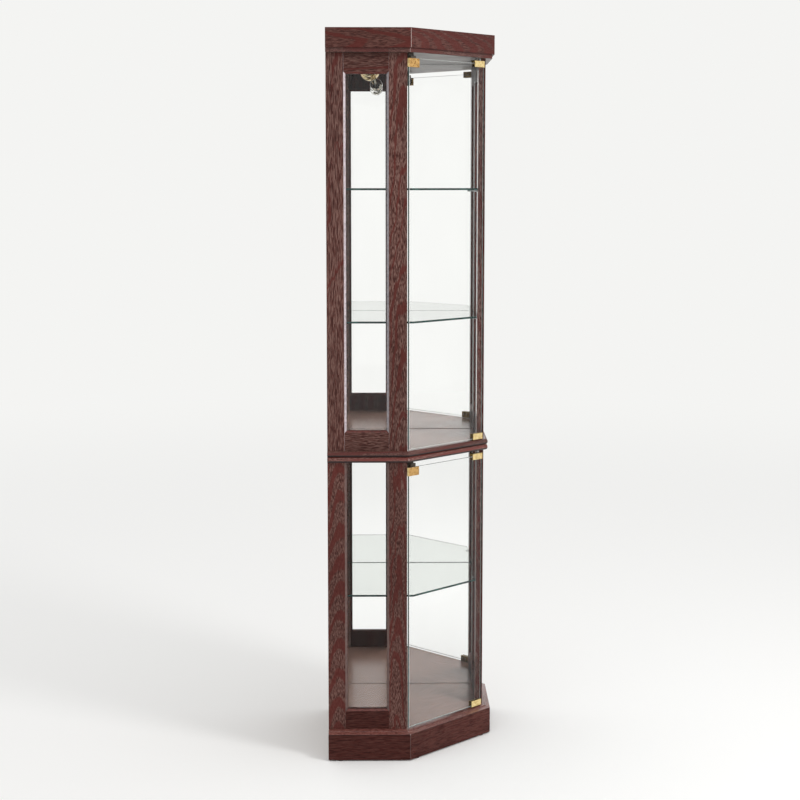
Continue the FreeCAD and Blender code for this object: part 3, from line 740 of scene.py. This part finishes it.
def joined(parts: Sequence[Mesh]) -> Mesh:
    """Puts several bmeshes into one.

    Args:
        parts: The bmeshes, which are freed.

    Returns:
        The one bmesh.
    """
    whole = bmesh.new()
    for part in parts:
        scratch = bpy.data.meshes.new("scratch")
        part.to_mesh(scratch)
        part.free()
        whole.from_mesh(scratch)
        bpy.data.meshes.remove(scratch)
    return whole


def facing(direction: Vector, at: Vector) -> Matrix:
    """Returns the place of something made along Z that points in a direction, at a point."""
    return Matrix.Translation(at) @ direction.to_track_quat("Z", "Y").to_matrix().to_4x4()


def socket_screw(radius: float, dome: float, direction: Vector, at: Vector) -> Mesh:
    """Makes a small round screw head with a socket in it.

    Args:
        radius: The head's radius.
        dome: How far it stands out.
        direction: The way it faces.
        at: The middle of its underside.

    Returns:
        The bmesh, in place.
    """
    mesh = bmesh.new()
    bmesh.ops.create_circle(mesh, cap_ends=True, radius=radius, segments=SCREW_FLATS)
    bmesh.ops.recalc_face_normals(mesh, faces=mesh.faces)
    top = mesh.faces[:][0]
    if top.normal.z < 0:
        bmesh.ops.reverse_faces(mesh, faces=[top])
    for share, rise in ((0.16, 0.7), (0.40, 0.3), (0.03, -0.9)):
        bmesh.ops.inset_individual(mesh, faces=[top], thickness=radius * share, depth=dome * rise)
    close(mesh)
    bmesh.ops.transform(mesh, matrix=facing(direction, at), verts=mesh.verts)
    return mesh


# Sub-assemblies


class Place(IntEnum):
    """Where a moulded board's materials stand in its list, after the wood of its four lays."""

    TOP = 4
    UNDER = 5
    MITRE = 6
    # Index of the painted shadow line; the upright woods come after it.
    SHADOW_LINE = 7


@dataclass
class Woodwork:
    """Cuts the CAD's boards with broken arrises and gives each its own stretch of grain."""

    finishes: Finishes
    arris: Arris = Arris(0.0007)
    sawn: int = 0

    def board(self, node: str, lay: Lay, finish: Mahogany, choose: Chooser | None = None,
              extra: Sequence[Material] = ()) -> None:
        """Makes one board of straight grain.

        Args:
            node: The CAD node that it stands for.
            lay: How the board lies.
            finish: Its wood.
            choose: Picks another of its materials for a face, or 0 for wood.
            extra: Those other materials.
        """
        self.sawn += 1
        low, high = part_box(node)
        wood = finish.make(f"mahogany_{node}", lay, (low + high) / 2, self.sawn)
        dress(node, "wood", [wood, *extra], "mahogany", self.arris, choose)

    def moulded(self, node: str, finish: Mahogany, top: Material | None, under: Material | None,
                upright: Mahogany | None) -> None:
        """Makes a five-sided board whose grain follows each of its edges.

        Args:
            node: The CAD node that it stands for.
            finish: The wood of its edges.
            top: What its upper face has, or None for wood.
            under: What its lower face has, or None for wood.
            upright: The wood of the faces that stand upright, or None for the same wood.
        """
        self.sawn += 1
        low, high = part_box(node)
        middle = (low + high) / 2
        front = Vector((middle.x, low.y, middle.z))
        lays = [Lay.FLAT, Lay.FRONT_LEVEL, Lay.LEFT_LEVEL, Lay.RIGHT_LEVEL]
        names = [f"mahogany_{node}_{lay.name.lower()}" for lay in lays]
        woods = [finish.make(name, lay, middle if lay is Lay.FLAT else front, self.sawn + step)
                 for step, (name, lay) in enumerate(zip(names, lays))]
        self.sawn += len(lays)
        materials = [*woods, top or woods[0], under or woods[0], self.finishes.mitre_highlight, self.finishes.shadow_line]
        if upright is not None:
            materials += [upright.make(f"{name}_upright", lay, front, self.sawn)
                          for name, lay in zip(names[1:], lays[1:])]

        def choose(normal: Vector) -> int:
            """Picks the face's top, underside, painted shadow line, painted mitre highlight or lay.

            Args:
                normal: The face's normal.

            Returns:
                The place of its material.
            """
            if abs(normal.z) > LEVEL:
                return Place.TOP if normal.z > 0.0 else Place.UNDER
            # Faces that slope downward get the painted shadow line.
            if normal.z < -SLIGHT:
                return Place.SHADOW_LINE
            if at_mitre(normal):
                return Place.MITRE
            lay = lays.index(lay_for(normal))
            # Upright faces take the upright wood; on the lower deck it is darker, as painted shade.
            return lay + Place.SHADOW_LINE if upright is not None and lay and abs(normal.z) < SLIGHT else lay

        dress(node, "wood", materials, "mahogany", self.arris, choose)


@dataclass
class Carcass:
    """The plinth, the floors, the ceiling and the crown."""

    wood: Woodwork
    finishes: Finishes
    arris: Arris = Arris(0.0006)
    plinth: Mahogany = Mahogany(tone=0.64, greyness=0.34, lean=0.03, heart=0.060, wild=0.25, red_share=-0.3,
                                speckle=0.75, glint=0.07, fine=1.15, streak=4.5)
    plinth_front: Mahogany = replace(plinth, tone=0.94, greyness=0.40)
    crown: Mahogany = Mahogany(tone=0.93, greyness=0.62, ring_gap=0.0130, lean=0.20, aside=0.014, wild=0.80,
                               red_share=0.50, speckle=0.60, fine=1.3, streak=2.2)
    crown_side: Mahogany = replace(crown, tone=0.98, greyness=0.88, ring_gap=0.0150, lean=0.12, aside=0.016,
                                   wild=0.70, red_share=0.30, speckle=0.42)
    bead: Mahogany = Mahogany(tone=1.06, greyness=0.60, ring_gap=0.0060, lean=0.02, heart=0.060, wild=0.3,
                              polish=0.35, fine=1.4)
    # The lower top board's bead is lightened as a painted highlight.
    low_bead_highlight: Mahogany = replace(bead, tone=1.70)
    # The lower deck's moulding: its upright faces are darkened as painted shade, and its slopes lightened as painted
    # sheen over real gloss.
    base_upright_shade: Mahogany = replace(plinth, tone=0.46, speckle=0.6, streak=1.0)
    base_slope_sheen: Mahogany = Mahogany(tone=2.20, greyness=0.62, lean=0.02, heart=0.060, wild=0.3, red_share=-0.3,
                                   polish=1.0, speckle=0.5, fine=1.2)

    def make(self) -> None:
        """Makes every board of the carcass."""
        finishes = self.finishes
        for lay, side, plinth, crown in ((Lay.LEFT_LEVEL, "left", self.plinth, self.crown_side),
                                         (Lay.RIGHT_LEVEL, "right", self.plinth, self.crown_side),
                                         (Lay.FRONT_LEVEL, "front", self.plinth_front, self.crown)):
            # Each mitre arris gets a painted highlight line, a dimmer one on the plinth.
            for node, finish, edge in (("plinth", plinth, finishes.dim_mitre_highlight), ("crown", crown, finishes.mitre_highlight)):
                self.wood.board(f"{node}_{side}", lay, finish, lambda normal: int(at_mitre(normal)), [edge])
        # Top faces take the deck lacquer, lightened as painted sheen; undersides take the ceiling lacquer, darkened
        # as painted shade.
        for node, finish, top, under, upright in (
            # Slopes lightened as painted sheen, upright faces darkened as painted shade.
            ("lower_deck", self.base_slope_sheen, finishes.deck, None, self.base_upright_shade),
            # Its bead's lighter wood is a painted highlight.
            ("lower_top_board", self.low_bead_highlight, finishes.deck, finishes.ceiling, None),
            ("upper_deck", self.bead, finishes.deck, None, None),
            ("ceiling_board", self.bead, None, finishes.ceiling, None),
        ):
            self.wood.moulded(node, finish, top, under, upright)
        for node in ("plinth_back_rails", "crown_back_rails", "crown_top"):
            dress(node, "board", [finishes.board], "back_board", self.arris)


@dataclass
class SideFrames:
    """The stiles, rails, panes and stops of the two glazed sides."""

    wood: Woodwork
    finishes: Finishes
    stiles: dict[str, Mahogany] = field(default_factory=lambda: {
        "upper_rear": Mahogany(tone=1.06, greyness=0.82, ring_gap=0.0120, heart=0.040, lean=0.05, aside=0.014,
                               wild=0.70, red_share=0.04, speckle=1.15, fine=1.30, streak=4.8),
        "upper_front": Mahogany(tone=1.00, greyness=0.88, ring_gap=0.0110, heart=0.016, lean=0.09, aside=0.024,
                                wild=0.80, red_share=0.24, speckle=1.15, fine=1.35, streak=2.2),
        "lower_rear": Mahogany(tone=1.02, greyness=0.90, ring_gap=0.0150, heart=0.012, lean=0.20, wild=0.45,
                               red_share=0.40, speckle=0.90, fine=1.35, streak=1.5),
        "lower_front": Mahogany(tone=0.94, greyness=0.88, ring_gap=0.0105, heart=0.010, lean=0.08, wild=1.45,
                                red_share=0.30, speckle=0.90, fine=1.35, streak=1.5),
    })
    rail: Mahogany = Mahogany(tone=0.96, greyness=0.85, ring_gap=0.0120, lean=0.02, heart=0.060, wild=0.3,
                              red_share=0.02, speckle=0.9, fine=1.35, streak=3.4)
    low_rail: Mahogany = replace(Carcass.plinth, greyness=0.36, lean=0.02, streak=4.0)
    # The rails' window bevels: real gloss, with wood lightened as a painted highlight.
    rail_bevel_highlight: Mahogany = Mahogany(tone=1.35, greyness=0.26, lean=0.02, heart=0.060, wild=0.25, red_share=-0.3,
                                    polish=0.6, speckle=0.4)
    stop: Mahogany = Mahogany(tone=0.62, greyness=0.60, lean=0.03, heart=0.050, wild=0.3)
    # The rails' inner faces get darker wood: painted shade.
    inside: Mahogany = replace(stop, tone=0.48, wild=0.4, glint=0.08)
    # The stiles' inner faces: real gloss, and a lighter, greyer colour that is painted sheen.
    upper_inner_sheen: Mahogany = Mahogany(tone=1.15, lean=0.03, heart=0.050, wild=0.4, polish=0.9, speckle=0.6,
                                            fine=1.3, ground=(0.165, 0.080, 0.064), grain=(0.165, 0.098, 0.082))
    lower_inner_sheen: Mahogany = replace(upper_inner_sheen, polish=0.15)
    inside_sawn: int = 40
    bevel_sawn: int = 41
    stile_inside_sawn: int = 42

    def make(self) -> None:
        """Makes both side frames with their glass."""
        finishes = self.finishes
        # The window bevels take painted highlight colours instead of wood.
        bevel_highlights = {"upper_rear": finishes.painted_bevel_highlight, "upper_front": finishes.painted_grey_bevel_highlight,
                  "lower_rear": finishes.painted_dim_bevel, "lower_front": finishes.painted_dim_bevel}
        for side, upright, level in (("left", Lay.LEFT_UPRIGHT, Lay.LEFT_LEVEL),
                                     ("right", Lay.RIGHT_UPRIGHT, Lay.RIGHT_LEVEL)):
            # Darker wood for the rails' inner faces: painted shade.
            inner_shade = self.inside.make(f"mahogany_inside_{side}", upright, Vector(), self.inside_sawn)
            # Lighter wood for the rails' window bevels: painted highlight.
            bevel_highlight_wood = self.rail_bevel_highlight.make(f"mahogany_rail_bevel_{side}", level, Vector(), self.bevel_sawn)
            # The stiles' inner faces take the lighter wood that is painted sheen.
            for section, glass, sheen_wood in (("upper", finishes.bright_glass, self.upper_inner_sheen),
                                           ("lower", finishes.glass, self.lower_inner_sheen)):
                behind = sheen_wood.make(f"mahogany_{section}_stile_inside_{side}", upright, Vector(),
                                     self.stile_inside_sawn)
                for place in ("rear", "front"):
                    stile = f"{section}_{place}"
                    self.wood.board(f"{stile}_stile_{side}", upright, self.stiles[stile],
                                    self.faces(upright.facing, place), [behind, bevel_highlights[stile]])
                dress(f"{section}_pane_{side}", "glass", [glass, finishes.cut_glass], "clear_glass",
                      choose=sheet_faces(upright.facing), smooth_below=FLAT_FACES)
            for node, finish in (("upper_top_rail", self.rail), ("upper_bottom_rail", self.rail),
                                 ("lower_bottom_rail", self.low_rail)):
                self.wood.board(f"{node}_{side}", level, finish, self.faces(level.facing), [inner_shade, bevel_highlight_wood])
            self.wood.board(f"glass_stops_{side}", upright, self.stop)

    @staticmethod
    def faces(outward: Vector, place: str | None = None) -> Chooser:
        """Tells a frame board's inner face, and the bevel round the window, from the rest of it.

        Args:
            outward: The way that the frame looks.
            place: Whether a stile stands at the rear or at the front, or None for a rail.

        Returns:
            A chooser that gives 1 for the inner face, 2 for the bevel and 0 elsewhere.
        """
        forward = Vector((-outward.x, outward.y, 0.0))
        window = -forward if place == "front" else forward

        def choose(normal: Vector) -> int:
            """Picks the inner face, the bevel or the plain wood.

            Args:
                normal: The face's normal.

            Returns:
                The place of its material.
            """
            looks = normal.dot(outward)
            leans = abs(normal.z) if place is None else normal.dot(window)
            return 1 if looks < -PLAIN else 2 if min(looks, leans) > SLOPING else 0

        return choose


@dataclass
class Back:
    """The two boards behind each section, their mirrors and their screws."""

    finishes: Finishes
    arris: Arris = Arris(0.0005)
    upper_ground: Arris = Arris(0.0004, 1)
    lower_ground: Arris = Arris(0.0003, 1)
    screw_radius: float = 0.0040
    screw_dome: float = 0.0012
    screw_sunk: float = 0.0009
    screw_inset: float = 0.014
    screw_from_corner: float = 0.0224
    screw_pitch: float = 0.190

    def make(self) -> None:
        """Makes the boards, the mirrors and the screws."""
        finishes = self.finishes
        # The lower mirrors' arris carries the painted highlight; the upper ones stay ground grey.
        for section, arris, ground in (("upper", self.upper_ground, finishes.ground_arris),
                                       ("lower", self.lower_ground, finishes.painted_arris_highlight)):
            dress(f"{section}_back_boards", "panels", [finishes.board], "back_board", self.arris)
            for side, toward in (("left", Lay.RIGHT_LEVEL.facing), ("right", Lay.LEFT_LEVEL.facing)):
                dress(f"{section}_mirror_{side}", "silvered",
                      [finishes.silver, finishes.cut_glass, finishes.mirror_back, ground], "mirror", arris,
                      sheet_faces(toward, back=2, arris=3), smooth_below=FLAT_FACES)
            self.screws(section)

    def screws(self, section: str) -> None:
        """Makes the rows of screws that hold one section's back boards, a little sunk into them.

        Args:
            section: The section, upper or lower.
        """
        low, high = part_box(f"{section}_back_boards")
        span, rise = high.x / DIAGONAL, high.z - low.z - 2 * self.screw_inset
        rows = max(2, round(rise / self.screw_pitch))
        heads = []
        for sign in (-1.0, 1.0):
            along, out = Vector((sign * DIAGONAL, -DIAGONAL, 0.0)), Vector((sign * DIAGONAL, DIAGONAL, 0.0))
            for row in range(rows + 1):
                corner = Vector((0.0, high.y, low.z + self.screw_inset + rise * row / rows)) - out * self.screw_sunk
                for place in (self.screw_from_corner, span - self.screw_inset):
                    heads.append(socket_screw(self.screw_radius, self.screw_dome, out, corner + along * place))
        finish_piece(joined(heads), f"{section}_back_screws", [self.finishes.steel], "steel", smooth_below=40.0)


@dataclass
class Shelves:
    """The three loose glass shelves and what holds them."""

    finishes: Finishes
    arris: Arris = Arris(0.0004, above=TURNED)

    def make(self) -> None:
        """Makes the shelves and their supports."""
        for node in ("lower_shelf", "upper_shelf_low", "upper_shelf_high"):
            dress(node, "glass", [self.finishes.shelf_glass, self.finishes.cut_glass], "clear_glass",
                  choose=sheet_faces(Lay.FLAT.facing), smooth_below=FLAT_FACES)
        dress("shelf_supports", "plated", [self.finishes.steel], "steel", self.arris)


@dataclass
class Door:
    """One glass leaf with its hinge clamps, pivots, grub screws and strike."""

    name: str
    finishes: Finishes
    clamp_arris: Arris = Arris(0.0010, 3)
    strike_arris: Arris = Arris(0.0003)
    pin_arris: Arris = Arris(0.0003, above=TURNED)
    grub_radius: float = 0.0020
    socket_rim: float = 0.0009
    socket_draft: float = 0.00006
    socket_depth: float = 0.0014

    def make(self) -> None:
        """Makes the leaf and its hardware."""
        door, finishes = f"{self.name}_door", self.finishes
        # The leaf's front and back arrises carry the painted highlight.
        dress(f"{door}_glass", "leaf", [finishes.glass, finishes.cut_glass, finishes.painted_arris_highlight], "clear_glass",
              choose=sheet_faces(Lay.FRONT_LEVEL.facing, arris=2, back_arris=2), body=door, smooth_below=FLAT_FACES)
        for end in ("bottom", "top"):
            # Clamp faces looking back, sideways, up or down take the dark brass as painted shade; the front and its
            # rims stay bright.
            dress(f"{door}_{end}_clamp", "brass", [finishes.hinge, finishes.painted_shade_hinge], "brass", self.clamp_arris,
                  lambda normal: 1 if max(normal.y, abs(normal.x), abs(normal.z)) > SQUARE else 0, door)
        # The strike's left face takes the bright hinge brass as a painted highlight.
        dress(f"{door}_strike", "brass", [finishes.strike, finishes.hinge], "brass", self.strike_arris,
              lambda normal: 1 if normal.x < -SLOPING else 0, door)
        dress(f"{door}_hinge_pins", "turned", [finishes.steel], "steel", self.pin_arris, body=door,
              carve=self.sockets)

    def sockets(self, mesh: Mesh) -> None:
        """Sinks a socket into the inner end of each grub screw."""
        most = (2 * self.grub_radius) ** 2
        ends = [face for face in mesh.faces if face.normal.y > SQUARE and face.calc_area() < most]
        sink(mesh, ends, self.socket_rim, self.socket_draft, self.socket_depth)


@dataclass
class TouchLatches:
    """The push latches under both heads."""

    cheek_margin: float = 0.0030
    cheek_draft: float = 0.0003
    cheek_depth: float = 0.0008
    housing_arris: Arris = Arris(0.0005)
    nose_arris: Arris = Arris(0.0006, above=TURNED)
    housing: MouldedPlastic = MouldedPlastic((0.085, 0.066, 0.044), 0.40)
    nose: MouldedPlastic = MouldedPlastic((0.055, 0.045, 0.035), 0.35)

    def make(self) -> None:
        """Makes both housings and both plungers."""
        dress("latch_housings", "moulded", [self.housing.make("latch_brown_plastic")], "latch_plastic",
              self.housing_arris, carve=self.cheeks)
        plastic = self.nose.make("latch_nose_plastic")
        for name in ("upper", "lower"):
            dress(f"{name}_latch_plunger", "moulded", [plastic], "latch_plastic", self.nose_arris,
                  body=f"{name}_plunger")

    def cheeks(self, mesh: Mesh) -> None:
        """Sinks a shallow panel into both cheeks of each housing."""
        cheeks = [face for face in mesh.faces if abs(face.normal.x) > SQUARE]
        sink(mesh, cheeks, self.cheek_margin, self.cheek_draft, self.cheek_depth)


@dataclass
class Lamp:
    """The domed holder in the ceiling and the clear bulb under it."""

    place: Triple = (0.0, 0.075, 1.7585)
    dome_radius: float = 0.027
    dome_rise: float = 0.0095
    flange_radius: float = 0.034
    flange_height: float = 0.0025
    tilt: float = 20.0
    neck_radius: float = 0.007
    neck_length: float = 0.015
    bulb_radius: float = 0.017
    glass_wall: float = 0.0006
    thread_turns: int = 6
    thread_pitch: float = 0.0016
    thread_depth: float = 0.0006
    coil_radius: float = 0.0031
    coil_reach: float = 0.0118
    coil_sweep: float = 135.0
    coil_turns: tuple[float, float] = (45.0, -150.0)

    def make(self) -> None:
        """Makes the holder, then the bulb with its cap and its filament, whose cream hook is a painted highlight."""
        self.holder()
        self.envelope()
        self.cap()
        self.filament()

    @property
    def ball(self) -> float:
        """How far down the bulb's axis the middle of its ball is."""
        return self.dome_radius + self.neck_length / 2 + self.bulb_radius

    def hang(self) -> Matrix:
        """Returns the place of the bulb, whose Z axis runs from the dome's middle down through it."""
        lean = Matrix.Rotation(math.radians(-self.tilt), 4, Vector((1.0, 1.0, 0.0)).normalized())
        return Matrix.Translation(Vector(self.place)) @ lean @ Matrix.Rotation(math.pi, 4, "X")

    @staticmethod
    def arc(radius: float, middle: float, degrees: range) -> list[tuple[float, float]]:
        """Returns the outline of part of a ball, by degrees from its low end."""
        return [(radius * math.sin(math.radians(a)), middle - radius * math.cos(math.radians(a))) for a in degrees]

    def holder(self) -> None:
        """Makes the turned dome with its beads and rolled flange."""
        radius, rise = self.dome_radius, self.dome_rise
        outline = [(0.0, -radius), *self.arc(radius, 0.0, range(8, 86, 6)),
                   (radius, 0.0), (radius, rise - 0.009), (radius - 0.0008, rise - 0.008),
                   (radius, rise - 0.007), (radius, rise - 0.003), (radius + 0.001, rise - 0.0012),
                   (self.flange_radius - 0.001, rise), (self.flange_radius, rise + 0.0008),
                   (self.flange_radius, rise + self.flange_height), (0.0, rise + self.flange_height)]
        finish_piece(turned(outline, Matrix.Translation(Vector(self.place)), DOME_FLATS), "lamp_holder_turned",
                     [LAMP_BRASS.make("lamp_brass")], "brass", stands_for="lamp_holder", smooth_below=35.0)

    def envelope(self) -> None:
        """Makes the bulb's glass, which has a wall."""
        start, ball, neck, wall = self.dome_radius, self.ball, self.neck_radius, self.glass_wall
        skin = [(neck - 0.0008, start + 0.005), (neck - 0.0006, start + 0.0095),
                *self.arc(self.bulb_radius, ball, range(34, 176, 7)), (0.0, ball + self.bulb_radius)]
        outer = turned(skin, Matrix.Identity(4), DOME_FLATS)
        inner = turned([(max(0.0, r - wall), z - (0.0 if r else wall)) for r, z in skin], Matrix.Identity(4),
                       DOME_FLATS)
        bmesh.ops.reverse_faces(inner, faces=inner.faces)
        shell = joined([outer, inner])
        bmesh.ops.bridge_loops(shell, edges=open_edges(shell))
        bmesh.ops.transform(shell, matrix=self.hang(), verts=shell.verts)
        glass = ClearGlass((0.99, 0.985, 0.97)).make("bulb_glass")
        finish_piece(shell, "lamp_bulb_shell", [glass], "bulb_glass", stands_for="lamp_bulb", smooth_below=60.0)

    def cap(self) -> None:
        """Makes the bulb's threaded cap."""
        start, neck = self.dome_radius, self.neck_radius
        rings = [(0.0, start - 0.002), (neck, start - 0.002)]
        for turn in range(self.thread_turns):
            low = start - 0.001 + turn * self.thread_pitch
            rings += [(neck, low), (neck - self.thread_depth, low + self.thread_pitch / 2)]
        rings += [(neck - 0.0004, start + 0.0092), (0.0, start + 0.0092)]
        finish_piece(turned(rings, self.hang(), CAP_FLATS), "lamp_bulb_cap", [LAMP_BRASS.make("cap_brass")], "brass",
                     smooth_below=35.0)

    def filament(self) -> None:
        """Makes the glass stem inside the bulb and the hooked filament that it holds; the hook's cream colour is a
        painted highlight of the bulb's glass.
        """
        start, ball = self.dome_radius, self.ball
        stem = turned([(0.0, start + 0.008), (0.0034, start + 0.008), (0.0024, start + 0.014),
                       (0.0020, ball - 0.006), (0.0032, ball - 0.004), (0.0, ball - 0.003)], self.hang(), STEM_FLATS)
        hook = bmesh.new()
        bmesh.ops.create_circle(hook, cap_ends=True, radius=self.coil_radius, segments=COIL_FLATS)
        bmesh.ops.translate(hook, verts=hook.verts, vec=(self.coil_reach, 0.0, 0.0))
        bmesh.ops.spin(hook, geom=hook.verts[:] + hook.edges[:] + hook.faces[:], cent=(0, 0, 0), axis=(0, 1, 0),
                       angle=math.radians(self.coil_sweep), steps=18)
        close(hook)
        round_z, round_y = (math.radians(turn) for turn in self.coil_turns)
        turn = Matrix.Rotation(round_z, 4, "Z") @ Matrix.Rotation(round_y, 4, "Y")
        bmesh.ops.transform(hook, matrix=self.hang() @ Matrix.Translation((0.0, 0.0, ball)) @ turn, verts=hook.verts)
        # The hook's cream colour stands in for the highlights on the bulb's glass: painted highlight; the stem
        # shares it.
        painted_highlight_cream = MouldedPlastic((0.95, 0.91, 0.80), 0.30).make("stem_and_painted_highlight")
        finish_piece(joined([stem, hook]), "lamp_bulb_filament", [painted_highlight_cream], "bulb_glass", smooth_below=40.0)


@dataclass
class Feet:
    """The glides under the plinth and the bushings that the door pivots turn in."""

    arris: Arris = Arris(0.0004, above=TURNED)
    glide: MouldedPlastic = MouldedPlastic((0.050, 0.032, 0.026), 0.45)
    bushing: MouldedPlastic = MouldedPlastic((0.62, 0.60, 0.55), 0.38)

    def make(self) -> None:
        """Makes the glides and the bushings."""
        for node, finish, slot in (("glides", self.glide, "glide_plastic"),
                                   ("pivot_bushings", self.bushing, "bushing_plastic")):
            dress(node, "moulded", [finish.make(slot)], slot, self.arris)


# Studio


@dataclass
class Studio:
    """The pale floor, the soft light and the camera."""

    white: Colour = (0.905, 0.905, 0.890)
    mirrored: float = 1.075
    sky: float = 0.85
    key: float = 24.0
    key_size: float = 0.70
    key_place: Triple = (0.25, -2.20, 2.60)
    key_aim: Triple = (0.0, 0.0, 0.7)
    floor_radius: float = 45.0
    floor_albedo: Colour = (0.985, 0.985, 0.972)
    floor_ends: float = 2.5
    sky_begins: float = 7.0
    camera_place: Triple = (-3.05926, -3.02174, 1.45)
    camera_down: float = 6.60
    camera_heading: float = 44.3
    lens: float = 74.08
    shift: float = -0.030

    def make(self) -> None:
        """Makes the stage, the light and the camera."""
        self.world()
        self.floor()
        self.lights()
        self.camera()
        bpy.context.scene.view_settings.view_transform = "Standard"

    def backdrop(self, graph: Graph, camera_ray: Socket) -> dict[str, object]:
        """Returns the colour and strength of the white behind everything, a little brighter in mirrors."""
        return {"Color": self.white, "Strength": graph.times(camera_ray, 1.0 - self.mirrored, self.mirrored)}

    def world(self) -> None:
        """Makes a soft even sky that looks plain white where it is seen, mirrored or seen through glass."""
        graph = Graph("soft_sky", world=True)
        rays = graph.node("LightPath", {}).outputs
        seen = graph.math("MAXIMUM", rays["Is Camera Ray"], rays["Is Glossy Ray"])
        shown = graph.math("MAXIMUM", seen, rays["Is Transmission Ray"])
        light = graph.node("Background", {"Color": (1.0, 1.0, 1.0), "Strength": self.sky}).outputs[0]
        white = graph.node("Background", self.backdrop(graph, rays["Is Camera Ray"])).outputs[0]
        bpy.context.scene.world = graph.done(graph.mixed(shown, light, white))

    def floor(self) -> None:
        """Makes a wide floor that takes the shadow and fades into the sky far off."""
        mesh = bmesh.new()
        bmesh.ops.create_circle(mesh, cap_ends=True, radius=self.floor_radius, segments=FLOOR_FLATS)
        data = bpy.data.meshes.new("studio_floor")
        mesh.to_mesh(data)
        mesh.free()
        graph = Graph("studio_floor")
        away = graph.node("VectorMath", {0: graph.place()}, operation="LENGTH").outputs["Value"]
        paper = graph.surface({"Base Color": self.floor_albedo, "Roughness": 1.0, "Specular IOR Level": 0.0})
        camera_ray = graph.node("LightPath", {}).outputs["Is Camera Ray"]
        far = graph.node("Emission", self.backdrop(graph, camera_ray)).outputs[0]
        fading = graph.mixed(graph.ease(away, self.floor_ends, self.sky_begins), paper, far)
        data.materials.append(graph.done(fading))
        add("studio_floor", data)

    def lights(self) -> None:
        """Makes the one soft key light."""
        disc = bpy.data.lights.new("key_light", "AREA")
        disc.shape, disc.size, disc.energy = "DISK", self.key_size, self.key
        place = Vector(self.key_place)
        add("key_light", disc).matrix_world = facing(place - Vector(self.key_aim), place)

    def camera(self) -> None:
        """Makes the camera."""
        data = bpy.data.cameras.new("camera")
        data.lens, data.shift_y = self.lens, self.shift
        camera = add("camera", data)
        camera.location = self.camera_place
        camera.rotation_euler = [math.radians(a) for a in (90.0 - self.camera_down, 0.0, self.camera_heading - 90.0)]
        bpy.context.scene.camera = camera


def main() -> None:
    """Makes the cabinet's pieces in order, then the studio."""
    logging.basicConfig(level=logging.INFO, format="%(name)s: %(message)s")
    finishes = Finishes()
    wood = Woodwork(finishes)
    for assembly in (
        Feet(),
        Carcass(wood, finishes),
        SideFrames(wood, finishes),
        Back(finishes),
        Shelves(finishes),
        Door("lower", finishes),
        Door("upper", finishes),
        TouchLatches(),
        Lamp(),
        Studio(),
    ):
        LOG.info("making %s", type(assembly).__name__)
        assembly.make()


if __name__ == "__main__":
    main()
